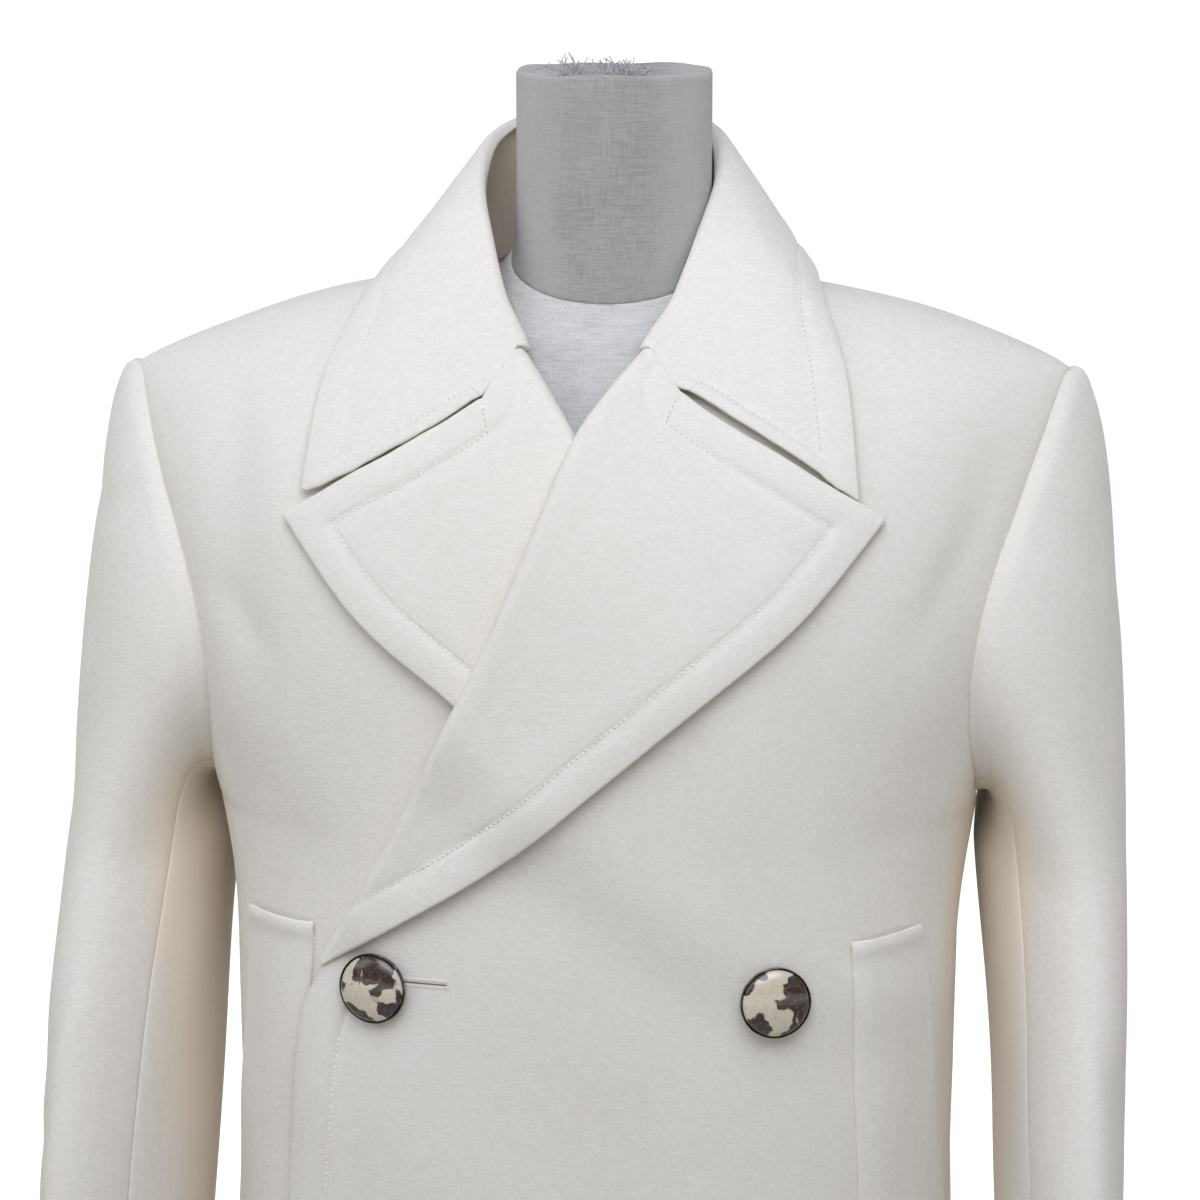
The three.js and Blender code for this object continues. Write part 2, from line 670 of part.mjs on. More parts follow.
// Dress form: rings from the neck seam over the shoulders down to the foot of the torso
const formRings = [
  { shift: 7, side: 51, front: 59, back: 55, sideZ: neckSeamZ, frontZ: 1391.6, backZ: 1424.3, round: 1 },
  { shift: 5, side: 64, front: 70, back: 58, sideZ: 1394.8, frontZ: 1372, backZ: 1396, round: 1.5 },
  { shift: 2, side: 92, front: 82, back: 74, sideZ: 1393.6, frontZ: 1345, backZ: 1366, round: 2 },
  { shift: 0, side: 132, front: 97, back: 92, sideZ: 1386.7, frontZ: 1305, backZ: 1325, round: 2 },
  { shift: 0, side: 166, front: 112, back: 102, sideZ: 1374.5, frontZ: 1255, backZ: 1275, round: 2 },
  { shift: 0, side: 176, front: 119, back: 108, sideZ: 1335, frontZ: 1215, backZ: 1230, round: 2 },
  { shift: 0, side: 166, front: 121, back: 108, sideZ: 1240, frontZ: 1165, backZ: 1180, round: 2 },
  { shift: 0, side: 152, front: 112, back: 102, sideZ: 1140, frontZ: 1110, backZ: 1115, round: 2 },
  { shift: 0, side: 132, front: 100, back: 92, sideZ: 1045, frontZ: 1040, backZ: 1040, round: 2 },
  { shift: 0, side: 140, front: 108, back: 100, sideZ: 965, frontZ: 965, backZ: 965, round: 2 },
  { shift: 0, side: 158, front: 114, back: 112, sideZ: 885, frontZ: 885, backZ: 885, round: 2 },
  { shift: 0, side: 160, front: 112, back: 114, sideZ: 835, frontZ: 835, backZ: 835, round: 2 },
];
const formSides = 28;

function formRing(ring) {
  return Array.from({ length: formSides }, (_, side) => {
    const turn = (side / formSides) * 2 * Math.PI;
    const forward = Math.cos(turn);
    const sideways = Math.sin(turn);
    const depth = forward > 0 ? ring.front : ring.back;
    const endZ = forward > 0 ? ring.frontZ : ring.backZ;
    const z = ring.sideZ + (endZ - ring.sideZ) * Math.abs(forward) ** ring.round;
    return new THREE.Vector3(ring.shift + ring.side * sideways, -depth * forward, z);
  });
}

add('form_torso', loft(formRings.map(formRing)), linen);

const neckRings = [
  { up: 0, side: 50, depth: 56, y: -2 },
  { up: 0.12, side: 48.5, depth: 55, y: -1.5 },
  { up: 0.4, side: 47.5, depth: 53.5, y: 0 },
  { up: 0.75, side: 47.5, depth: 52.5, y: 0 },
  { up: 0.98, side: 47.5, depth: 52, y: 0 },
  { up: 1, side: 45.5, depth: 50, y: 0 },
];

add('form_neck', loft(neckRings.map((ring) => Array.from({ length: formSides }, (_, side) => {
  const turn = (side / formSides) * 2 * Math.PI;
  const x = formNeckX + ring.side * Math.sin(turn);
  const y = ring.y - ring.depth * Math.cos(turn);
  const seamZ = neckSeamZ + neckSeamTilt * y + 0.8;
  return new THREE.Vector3(x, y, seamZ + (formNeckTop - seamZ) * ring.up);
}))), linen);

function addTurned(name, profile, look) {
  const points = profile.map(([radius, z]) => new THREE.Vector2(radius, z));
  const geometry = new THREE.LatheGeometry(points, 40);
  geometry.rotateX(Math.PI / 2);
  return add(name, geometry, look);
}

const jointGap = 0.3;
const plateZ = formFootZ - 14;
const collarFootZ = formFootZ - 54;
const hubTopZ = baseHeight + 26;
addTurned('form_underplate', [
  [0, plateZ], [104, plateZ], [106, plateZ + 2], [106, formFootZ - jointGap],
  [0, formFootZ - jointGap],
], timber);
addTurned('stand_collar', [
  [0, collarFootZ], [19, collarFootZ], [19, plateZ - 6], [30, plateZ - 4],
  [30, plateZ - jointGap], [0, plateZ - jointGap],
], steel);
addTurned('stand_pole', [
  [0, hubTopZ + jointGap], [poleRadius, hubTopZ + jointGap],
  [poleRadius, collarFootZ - jointGap], [0, collarFootZ - jointGap],
], steel);
addTurned('stand_base', [
  [0, 0], [baseRadius - 2, 0], [baseRadius, 2], [baseRadius, baseHeight - 3], [baseRadius - 3, baseHeight],
  [26, baseHeight + 2], [18, baseHeight + 10], [16, hubTopZ], [0, hubTopZ],
], steel);

export default coat;
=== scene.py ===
# Long double-breasted wool coat with wide peaked lapels, on a limbless dress form.
# Shapes are worked out in millimetres and become metres where a mesh is made.
# +Z is up, the coat's front faces -Y and the wearer's left side is +X.
import math

import bpy
import numpy as np
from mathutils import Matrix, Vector


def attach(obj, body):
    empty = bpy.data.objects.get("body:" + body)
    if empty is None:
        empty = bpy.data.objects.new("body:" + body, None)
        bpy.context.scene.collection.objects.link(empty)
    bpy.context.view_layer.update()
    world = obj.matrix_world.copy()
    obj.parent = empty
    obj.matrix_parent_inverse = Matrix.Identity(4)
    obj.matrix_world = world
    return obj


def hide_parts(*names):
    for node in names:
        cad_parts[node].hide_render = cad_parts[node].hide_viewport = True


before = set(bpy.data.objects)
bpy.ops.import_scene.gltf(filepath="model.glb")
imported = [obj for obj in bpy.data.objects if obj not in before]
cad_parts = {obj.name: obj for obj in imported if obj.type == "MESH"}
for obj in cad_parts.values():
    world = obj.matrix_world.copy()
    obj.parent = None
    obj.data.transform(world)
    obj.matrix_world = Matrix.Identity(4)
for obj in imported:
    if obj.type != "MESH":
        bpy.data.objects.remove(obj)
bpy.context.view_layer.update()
mm = 0.001
degree = math.pi / 180
fullTurn = 2 * math.pi
print("frame loaded")


# Named columns, a tuple for each row.
def table(columns, *rows):
    return [dict(zip(columns.split(), row)) for row in rows]


# A smooth value of a column at any place along another column.
def along(rows, key, at, column):
    keys = np.array([row[key] for row in rows], float)
    values = np.array([row[column] for row in rows], float)
    slopes = np.gradient(values, keys, edge_order=1)
    slopes[1:-1] = (values[2:] - values[:-2]) / (keys[2:] - keys[:-2])
    at = np.asarray(at, float)
    row = np.clip(np.searchsorted(keys, at, side="left") - 1, 0, len(keys) - 2)
    width = keys[row + 1] - keys[row]
    part = np.clip((at - keys[row]) / width, 0, 1)
    rise = slopes[row] * width * part * (1 - part) ** 2
    fall = slopes[row + 1] * width * part * part * (1 - part)
    blend = part * part * (3 - 2 * part)
    return values[row] * (1 - blend) + values[row + 1] * blend + rise - fall


def smoothstep(value, low, high):
    part = np.clip((value - low) / (high - low), 0, 1)
    return part * part * (3 - 2 * part)


def xyz(x, y, z):
    return np.stack(np.broadcast_arrays(x, y, z), axis=-1).astype(float)


def unit(vectors):
    return vectors / (np.linalg.norm(vectors, axis=-1, keepdims=True) + 1e-9)


# The part of each vector that is square to an axis, made one long.
def squareTo(vectors, axis):
    return unit(vectors - axis * np.sum(vectors * axis, axis=1, keepdims=True))


# Distances travelled along a line of points, 0 at its start.
def runAlong(line):
    return np.concatenate([[0], np.cumsum(np.linalg.norm(np.diff(line, axis=0), axis=1))])


# camera and light

view = {"place": (0.16375, -1.70065, 1.61377), "aim": (0, 0, 1.235), "lens": 105, "sensor": 36}


# Links a camera or lamp at a place, aimed at a spot.
def aimed(name, data, place, spot):
    thing = bpy.data.objects.new(name, data)
    thing.location = place
    aim = Vector(spot) - thing.location
    thing.rotation_euler = aim.to_track_quat("-Z", "Y").to_euler()
    bpy.context.scene.collection.objects.link(thing)
    return thing


def makeCamera():
    data = bpy.data.cameras.new("camera")
    data.lens = view["lens"]
    data.sensor_width = view["sensor"]
    bpy.context.scene.camera = aimed("camera", data, view["place"], view["aim"])


studio = {
    "worldStrength": 0.09, "worldTint": (1, 0.9, 0.78, 1), "exposure": 0, "aim": (0, 0, 1.2),
    "lamps": table("name place size power tint",
        ("mainLamp", (0.2, -1.25, 2.85), 1.8, 28, (0.96, 1, 1.14)),
        ("frontLamp", (-0.1, -2.2, 2.9), 2, 17, (0.97, 1, 1.1)),
        ("leftLamp", (-2.2, -1.2, 2.6), 1.8, 13, (0.97, 1, 1.1)),
        ("rightLamp", (2.2, -1.2, 2.6), 1.8, 3.5, (0.97, 1, 1.1)),
        ("backLeftLamp", (-2.2, 1.8, 2.6), 2, 20, (0.96, 1, 1.12)),
        ("backRightLamp", (2.2, 1.8, 2.6), 2, 15, (0.96, 1, 1.12)),
    ),
}


def makeStudio():
    scene = bpy.context.scene
    scene.view_settings.view_transform = "Standard"
    scene.view_settings.exposure = studio["exposure"]
    world = bpy.data.worlds.new("studio")
    world.use_nodes = True
    sky = world.node_tree.nodes["Background"]
    sky.inputs["Color"].default_value = studio["worldTint"]
    sky.inputs["Strength"].default_value = studio["worldStrength"]
    scene.world = world
    for lamp in studio["lamps"]:
        data = bpy.data.lights.new(lamp["name"], "AREA")
        data.size = lamp["size"]
        data.energy = lamp["power"]
        data.color = lamp["tint"]
        aimed(lamp["name"], data, lamp["place"], studio["aim"])


makeCamera()
makeStudio()
print("camera and lamps placed")

# materials


# A socket that takes part in Python sums.
class Wire:
    def __init__(self, paint, socket):
        self.paint = paint
        self.socket = socket

    def sum(self, operation, first, second):
        return self.paint.node("ShaderNodeMath", {"operation": operation}, {0: first, 1: second})

    def __add__(self, other):
        return self.sum("ADD", self, other)

    __radd__ = __add__

    def __mul__(self, other):
        return self.sum("MULTIPLY", self, other)

    __rmul__ = __mul__

    def __sub__(self, other):
        return self.sum("SUBTRACT", self, other)

    def __rsub__(self, other):
        return self.sum("SUBTRACT", other, self)


class Paint:
    def __init__(self, name):
        self.material = bpy.data.materials.new(name)
        self.material.use_nodes = True
        self.tree = self.material.node_tree
        self.shader = self.tree.nodes["Principled BSDF"]
        self.place = self.node("ShaderNodeTexCoord", {}, {}, "Object")

    def node(self, kind, settings, inputs, output=0):
        node = self.tree.nodes.new(kind)
        for key, value in settings.items():
            setattr(node, key, value)
        for key, value in inputs.items():
            if isinstance(value, Wire):
                self.tree.links.new(value.socket, node.inputs[key])
            else:
                node.inputs[key].default_value = value
        return Wire(self, node.outputs[output])

    def math(self, operation, value):
        return self.node("ShaderNodeMath", {"operation": operation}, {0: value})

    def axis(self, index):
        return self.node("ShaderNodeSeparateXYZ", {}, {0: self.place}, index)

    def stretched(self, scale, turn=(0, 0, 0)):
        return self.node("ShaderNodeMapping", {}, {"Vector": self.place, "Scale": scale, "Rotation": turn})

    def noise(self, vector, scale, detail, roughness, output=0):
        inputs = {"Vector": vector, "Scale": scale, "Detail": detail, "Roughness": roughness}
        return self.node("ShaderNodeTexNoise", {}, inputs, output)

    def ramp(self, value, low, high):
        inputs = {"Value": value, "From Min": low, "From Max": high}
        return self.node("ShaderNodeMapRange", {"interpolation_type": "SMOOTHSTEP"}, inputs)

    def mix(self, factor, first, second):
        return self.node("ShaderNodeMix", {"data_type": "RGBA"}, {0: factor, 6: first, 7: second}, 2)

    def bump(self, height, strength, distance):
        inputs = {"Height": height, "Strength": strength, "Distance": distance}
        return self.node("ShaderNodeBump", {}, inputs)

    # Sets the shader's sockets; baseColor means Base Color.
    def finish(self, **sockets):
        for key, value in sockets.items():
            words = "".join(" " + letter if letter.isupper() else letter for letter in key)
            name = "Specular IOR Level" if key == "specular" else words.title()
            if isinstance(value, Wire):
                self.tree.links.new(value.socket, self.shader.inputs[name])
            else:
                self.shader.inputs[name].default_value = value
        return self.material


wool = {
    "light": (0.80, 0.77, 0.70, 1), "shade": (0.755, 0.72, 0.64, 1), "fibre": (0.86, 0.84, 0.79, 1),
    # The two inside colours and their share are painted shade: warm browns standing in for the shade
    # between sleeve and body and inside the collar.
    "paintedShadeLight": (0.86, 0.76, 0.62, 1), "paintedShadeDark": (0.82, 0.71, 0.56, 1), "paintedShadeShare": 0.85,
    "napScale": (300, 300, 900), "slantScale": (760, 760, 330), "fuzzScale": 1900, "cloudScale": 9,
    "feltScale": 210,
}


def makeWool(name, light, shade):
    paint = Paint(name)
    nap = paint.noise(paint.stretched(wool["napScale"]), 1.0, 3, 0.6)
    slant = paint.noise(paint.stretched(wool["slantScale"], (0, 0.5, 0.3)), 1.0, 2, 0.55)
    fuzz = paint.noise(paint.place, wool["fuzzScale"], 2, 0.6)
    cloud = paint.noise(paint.place, wool["cloudScale"], 3, 0.5)
    felt = paint.noise(paint.place, wool["feltScale"], 3, 0.6)
    tone = 0.45 * nap + 0.2 * slant + 0.2 * felt + 0.15 * cloud
    body = paint.mix(paint.ramp(tone, 0.38, 0.62), shade, light)
    # painted shade: where the body's side faces the sleeve, and on the sleeve's inner side, the colour
    # turns a warm brown that stands in for the shade falling between them
    x, y, z = [paint.axis(index) for index in range(3)]
    aside = paint.math("ABSOLUTE", x)
    paintedShadeMask = paint.ramp(aside, 0.171, 0.182) * (1 - paint.ramp(aside, 0.21, 0.228))
    paintedShadeMask = paintedShadeMask * paint.ramp(y, -0.095, -0.055) * (1 - paint.ramp(y, -0.015, 0.025))
    paintedShadeMask = paintedShadeMask * paint.ramp(z, 0.84, 0.94) * (1 - paint.ramp(z, 1.13, 1.19))
    body = paint.mix(wool["paintedShadeShare"] * paintedShadeMask, body, wool["paintedShadeLight"])
    color = paint.mix(0.35 * paint.ramp(nap * fuzz, 0.24, 0.4), body, wool["fibre"])
    height = 0.5 * nap + 0.2 * slant + 0.3 * felt + 0.25 * fuzz
    normal = paint.bump(height, 0.55, 0.0006)
    return paint.finish(baseColor=color, roughness=0.95, normal=normal, specular=0.15,
                        sheenWeight=0.22, sheenRoughness=0.55, sheenTint=(1, 0.98, 0.93, 1))


# Sewing thread, whose twist also stands up.
def makeTwist(name, dark, light, roughness):
    paint = Paint(name)
    twist = paint.noise(paint.place, 2600, 2, 0.5)
    color = paint.mix(twist, dark, light)
    return paint.finish(baseColor=color, roughness=roughness, normal=paint.bump(twist, 0.4, 0.0002))


# Fine stuff too small for its own relief.
def makeGrain(name, scale, dark, light):
    paint = Paint(name)
    grain = paint.noise(paint.place, scale, 2, 0.5)
    return paint.finish(baseColor=paint.mix(grain, dark, light), roughness=0.95)


# side is a paler colour painted towards the neck's sides as painted light.
linen = {
    "thread": (0.50, 0.50, 0.505, 1), "gap": (0.36, 0.357, 0.36, 1), "pale": (0.58, 0.58, 0.585, 1),
    "side": (0.754, 0.754, 0.76, 1), "fleck": (0.15, 0.14, 0.135, 1), "tint": (1.01, 1, 0.945),
    "pitch": 1100,
}


# Tone is the linen's brightness, set as painted light: a shaded, darker copy for the neck and a lit,
# lighter copy for the torso. Sides is how much paler it gets away from the middle, a painted highlight on
# both sides of the neck.
def makeLinen(name, tone, sides):
    paint = Paint(name)
    across, height = paint.axis(0), paint.axis(2)
    slubAcross = paint.noise(paint.stretched((90, 90, 1500)), 1.0, 2, 0.6)
    slubUp = paint.noise(paint.stretched((1400, 1400, 80)), 1.0, 2, 0.6)
    turns = fullTurn * linen["pitch"]
    weft = paint.math("SINE", height * turns + 3.0 * slubAcross)
    warp = paint.math("SINE", across * turns + 3.0 * slubUp)
    weave = 0.5 + 0.25 * weft + 0.25 * warp
    cloud = paint.noise(paint.place, 28, 3, 0.6)
    gains = [tone * share for share in linen["tint"]]

    def toned(key):
        return tuple(part * gain for part, gain in zip(linen[key], gains)) + (1,)

    thread, gap, pale, side = [toned(key) for key in ("thread", "gap", "pale", "side")]
    body = paint.mix(paint.ramp(0.55 * slubAcross + 0.45 * slubUp, 0.34, 0.64), gap, thread)
    body = paint.mix(0.3 * paint.ramp(cloud, 0.35, 0.65), body, pale)
    body = paint.mix(0.2 * weave, body, gap)
    # painted light: paler towards both sides, darker in the middle, as the light falls on the neck
    aside = paint.math("ABSOLUTE", across - form["neckX"] * mm)
    body = paint.mix(sides * paint.ramp(aside, 0.012, 0.044), body, side)
    fleckWeft = paint.ramp(paint.noise(paint.stretched((300, 300, 1000)), 1.0, 2, 0.5), 0.69, 0.75)
    fleckWarp = paint.ramp(paint.noise(paint.stretched((1000, 1000, 260)), 1.0, 2, 0.5), 0.7, 0.76)
    color = paint.mix(0.45 * fleckWeft, body, linen["fleck"])
    color = paint.mix(0.35 * fleckWarp, color, linen["fleck"])
    normal = paint.bump(weave + 0.8 * slubAcross + 0.8 * slubUp + 0.6 * fleckWeft, 0.45, 0.0003)
    return paint.finish(baseColor=color, roughness=0.92, normal=normal, specular=0.2)


def makeGunmetal():
    paint = Paint("gunmetal")
    scratch = paint.noise(paint.stretched((900, 200, 900)), 1.0, 3, 0.6)
    worn = paint.noise(paint.place, 160, 3, 0.6)
    color = paint.mix(paint.ramp(worn, 0.4, 0.65), (0.10, 0.088, 0.078, 1), (0.30, 0.27, 0.24, 1))
    rough, normal = 0.24 + 0.2 * scratch, paint.bump(scratch, 0.15, 0.0002)
    return paint.finish(baseColor=color, metallic=0.95, roughness=rough, normal=normal)


horn = {"dark": (0.035, 0.022, 0.018, 1), "brown": (0.12, 0.07, 0.05, 1), "cream": (0.66, 0.60, 0.46, 1)}


def makeHorn(name, shift):
    paint = Paint(name)
    moved = paint.node("ShaderNodeMapping", {}, {"Vector": paint.place, "Location": shift})
    warp = paint.noise(moved, 55, 3, 0.6, 1)
    bent = paint.node("ShaderNodeVectorMath", {"operation": "MULTIPLY_ADD"},
                      {0: warp, 1: (0.016, 0.016, 0.016), 2: moved})
    patch = paint.noise(bent, 62, 2, 0.45)
    grain = paint.noise(bent, 420, 3, 0.6)
    mask = paint.ramp(patch + 0.05 * grain, 0.525, 0.555)
    dark = paint.mix(paint.ramp(grain, 0.45, 0.68), horn["dark"], horn["brown"])
    light = paint.mix(0.4 * paint.ramp(grain, 0.4, 0.7), horn["cream"], (0.48, 0.42, 0.31, 1))
    color = paint.mix(mask, dark, light)
    normal = paint.bump(mask, 0.25, 0.0003)
    return paint.finish(baseColor=color, roughness=0.28, coatWeight=0.9, coatRoughness=0.08, normal=normal)


def makeSteel():
    paint = Paint("steel")
    brushed = paint.noise(paint.stretched((40, 40, 1500)), 1.0, 3, 0.6)
    spots = paint.noise(paint.place, 35, 3, 0.6)
    color = paint.mix(paint.ramp(spots, 0.4, 0.7), (0.50, 0.50, 0.495, 1), (0.58, 0.58, 0.575, 1))
    rough, normal = 0.28 + 0.14 * brushed, paint.bump(brushed, 0.12, 0.0002)
    return paint.finish(baseColor=color, metallic=1.0, roughness=rough, normal=normal)


def makeTimber():
    paint = Paint("timber")
    rings = paint.noise(paint.stretched((14, 190, 190)), 1.0, 4, 0.6)
    pores = paint.noise(paint.stretched((60, 1400, 1400)), 1.0, 2, 0.6)
    color = paint.mix(paint.ramp(rings, 0.35, 0.65), (0.36, 0.22, 0.11, 1), (0.58, 0.41, 0.24, 1))
    color = paint.mix(0.3 * paint.ramp(pores, 0.55, 0.7), color, (0.2, 0.12, 0.06, 1))
    return paint.finish(baseColor=color, roughness=0.5, normal=paint.bump(pores, 0.2, 0.0002))


def makeFloorPaint():
    paint = Paint("floorPaint")
    grain = paint.noise(paint.place, 60, 3, 0.6)
    color = paint.mix(grain, (0.57, 0.555, 0.53, 1), (0.61, 0.595, 0.57, 1))
    # behind the coat and far away the floor glows white, as a lit backdrop does
    reach = paint.node("ShaderNodeVectorMath", {"operation": "LENGTH"}, {0: paint.place}, 1)
    spread = paint.ramp(paint.axis(1), 1.1, 2.0) + paint.ramp(reach, 3.4, 8.0)
    glow = paint.mix(paint.ramp(spread, 0, 1), (0, 0, 0, 1), (1, 1, 1, 1))
    return paint.finish(baseColor=color, roughness=0.8, emissionStrength=1.05, emissionColor=glow)


woolPaint = makeWool("wool", wool["light"], wool["shade"])
# A shaded copy of the wool, in warm brown shade colours, as painted shade for the inside of the collar.
paintedShadeWoolPaint = makeWool("woolPaintedShade", wool["paintedShadeLight"], wool["paintedShadeDark"])
threadPaint = makeTwist("thread", (0.80, 0.77, 0.70, 1), (0.93, 0.92, 0.88, 1), 0.7)
holePaint = makeTwist("buttonholeThread", (0.72, 0.66, 0.61, 1), (0.90, 0.86, 0.82, 1), 0.6)
# Painted shade: dark marks standing for the shadow in needle holes.
holeShadePaint = makeGrain("needleHoleShade", 2600, (0.42, 0.39, 0.33, 1), (0.55, 0.51, 0.44, 1))
# Painted shade: near-black marks standing for the shadow inside the buttonhole's cut.
slitShadePaint = makeGrain("buttonholeSlitShade", 2600, (0.10, 0.085, 0.07, 1), (0.2, 0.17, 0.14, 1))
frayPaint = makeGrain("frayedLinen", 900, (0.3, 0.29, 0.29, 1), (0.66, 0.65, 0.65, 1))
gunmetalPaint = makeGunmetal()
steelPaint = makeSteel()
timberPaint = makeTimber()
print("materials made")

# the coat's surface

coat = {
    "wall": 2.6, "lapelWall": 3.2, "layerGap": 1.4, "lapelGap": 2.3, "collarGap": 3.6, "sleeveGap": 0.8,
    "seamTrim": 0.00005, "overlapFade": 60, "underarmZ": 1142, "neckPointX": 78, "neckPointZ": 1399.5,
    "shoulderTipX": 232, "shoulderSlope": 0.0842, "shoulderDrop": 0.00133, "backNeckRise": 48,
    "chestHalfWidth": 190, "chestFront": 135, "chestBack": 132, "chestSquareness": 2.5,
    "waistSquareness": 3.05, "waistZ": 990, "armholeReach": 78, "backNeckLevel": 0.9263,
    "gorgeLevel": 0.875, "shoulderSwell": 1.6, "hemZ": 300, "shoulderGap": 0.22, "foldFade": (3, 45),
}
bodySections = table("z halfWidth front back",
    (300, 222, 172, 168), (500, 208, 163, 158), (700, 194, 154, 148), (850, 184, 147, 140),
    (920, 180, 143, 136), (1000, 179, 140, 132), (1090, 182.5, 137, 131.5), (1142, 190, 135, 132),
    (1170, 198, 134.5, 132),
)
# front edge of the left front up to the break, then its roll line up to the gorge
frontEdge = table("z x",
    (300, -146), (600, -144), (850, -140), (955, -137), (1017, -133), (1050, -129.5), (1066, -125.5),
    (1080, -118.5), (1092, -112.5), (1136, -90), (1197, -61), (1254, -33.5), (1300, -13), (1332, 2),
    (1352, 16.5), (1370.5, 33),
)


def signedPower(value, power):
    return np.sign(value) * np.abs(value) ** power


def shoulderZ(x, isBack):
    out = np.abs(x) - coat["neckPointX"]
    slope = coat["shoulderSlope"]
    outside = coat["neckPointZ"] - slope * out - coat["shoulderDrop"] * out * out
    front = coat["neckPointZ"] - slope * out
    back = coat["neckPointZ"] + coat["backNeckRise"] * smoothstep(-out / coat["neckPointX"], 0, 1)
    return np.where(out >= 0, outside, np.where(isBack, back, front))


def section(level):
    z = coat["underarmZ"] + np.minimum(level, 0)
    left = np.clip(1 - level, 0, 1)
    flatten = np.sqrt(np.clip(1 - np.clip(level, 0, 1) ** 3, 0, 1))
    half = coat["chestHalfWidth"]
    isChest = level >= 0
    wide = half + (coat["shoulderTipX"] - half) * (1 - left ** coat["shoulderSwell"])
    waist = coat["waistSquareness"]
    square = waist + (coat["chestSquareness"] - waist) * smoothstep(z, coat["waistZ"], coat["underarmZ"])
    return {
        "halfWidth": np.where(isChest, wide, along(bodySections, "z", z, "halfWidth")),
        "front": np.where(isChest, coat["chestFront"] * flatten, along(bodySections, "z", z, "front")),
        "back": np.where(isChest, coat["chestBack"] * flatten, along(bodySections, "z", z, "back")),
        "squareness": np.where(isChest, coat["chestSquareness"], square),
    }


def bodyPoint(angle, level):
    angle, level = np.broadcast_arrays(np.asarray(angle, float), np.asarray(level, float))
    ring = section(level)
    ahead = np.cos(angle)
    isBack = ahead < 0
    x = ring["halfWidth"] * signedPower(np.sin(angle), 2 / ring["squareness"])
    depth = np.where(isBack, ring["back"], ring["front"])
    y = -depth * signedPower(ahead, 2 / ring["squareness"])
    climb = np.where(level < 0, level, level * (shoulderZ(x, isBack) - coat["underarmZ"]))
    return xyz(x, y, coat["underarmZ"] + climb)


def bodyNormal(angle, level):
    angle, level = np.broadcast_arrays(np.asarray(angle, float), np.asarray(level, float))
    step = np.where(level < 0, 0.5, 0.0015)
    high = np.minimum(level, 0.998)
    across = bodyPoint(angle + 0.004, high) - bodyPoint(angle - 0.004, high)
    up = bodyPoint(angle, high + step) - bodyPoint(angle, high - step)
    normal = unit(np.cross(across, up))
    x = bodyPoint(angle, np.ones_like(level))[..., 0]
    slope = shoulderZ(x + 0.5, False) - shoulderZ(x - 0.5, False)
    top = unit(xyz(-slope, 0, 1))
    return np.where((level > 0.998)[..., None], top, normal)


def skin(angle, level, out=0.0):
    point = bodyPoint(angle, level)
    return point + bodyNormal(angle, level) * np.asarray(out, float)[..., None]


def angleAt(x, level, isBack=False):
    ring = section(np.asarray(level, float))
    ratio = np.minimum(1, np.abs(x) / ring["halfWidth"])
    angle = np.sign(x) * np.arcsin(ratio ** (ring["squareness"] / 2))
    return np.where(isBack, math.pi * np.where(np.asarray(x) < 0, -1, 1) - angle, angle)


def levelAt(x, z):
    below = z - coat["underarmZ"]
    return np.where(below < 0, below, below / (shoulderZ(x, False) - coat["underarmZ"]))


def frontSkin(x, z, out=0.0):
    level = levelAt(x, z)
    return skin(angleAt(x, level), level, out)


def armholeAngle(level, isBack):
    level = np.asarray(level, float)
    inside = np.clip(level, 1e-6, 1 - 1e-6)
    reach = coat["armholeReach"] * np.sin(math.pi * inside ** 0.7) ** 0.7
    depth = section(inside)["back" if isBack else "front"]
    angle = np.arccos(np.clip((reach / depth) ** (coat["chestSquareness"] / 2), 0, 1))
    angle = np.where((level <= 0) | (level >= 1), math.pi / 2, angle)
    return math.pi - angle if isBack else angle


# the whole coat hangs a little unevenly
settle = {"leftShoulder": 2.6, "rightShoulder": -1.4, "across": (110, 235), "up": (1180, 1370)}


def settled(points):
    x, z = points[..., 0], points[..., 2]
    left, right = [smoothstep(way * x, *settle["across"]) for way in (1, -1)]
    lift = settle["leftShoulder"] * left + settle["rightShoulder"] * right
    moved = points.copy()
    moved[..., 2] += lift * smoothstep(z, *settle["up"])
    return moved


# making cloth


def gridNormals(grid, mirrored):
    normals = unit(np.cross(np.gradient(grid, axis=1), np.gradient(grid, axis=0)))
    return -normals if mirrored else normals


# Soft troughs (negative depth) and ridges along straight stretches.
def creases(x, z, folds):
    height = np.zeros(np.broadcast(x, z).shape)
    for fold in folds:
        (ax, az), (bx, bz) = fold["start"], fold["end"]
        length = math.hypot(bx - ax, bz - az)
        ux, uz = (bx - ax) / length, (bz - az) / length
        run = ((x - ax) * ux + (z - az) * uz) / length
        off = (x - ax) * uz - (z - az) * ux
        taper = smoothstep(run, -0.25, 0.35) * (1 - smoothstep(run, 0.65, 1.25))
        height = height + fold["depth"] * taper * np.exp(-(off / fold["width"]) ** 2)
    return height


def distanceTo(points, line):
    flat = points.reshape(-1, 3)
    best = np.full(len(flat), 1e9)
    for start in range(0, len(flat), 2000):
        part = flat[start:start + 2000]
        gaps = np.linalg.norm(part[:, None, :] - line[None, :, :], axis=2)
        best[start:start + 2000] = gaps.min(axis=1)
    return best.reshape(points.shape[:-1])


def densified(line, step=1.0):
    run = runAlong(line)
    count = max(2, int(run[-1] / step) + 1)
    wanted = np.linspace(0, run[-1], count)
    return np.stack([np.interp(wanted, run, line[:, axis]) for axis in range(3)], axis=1)


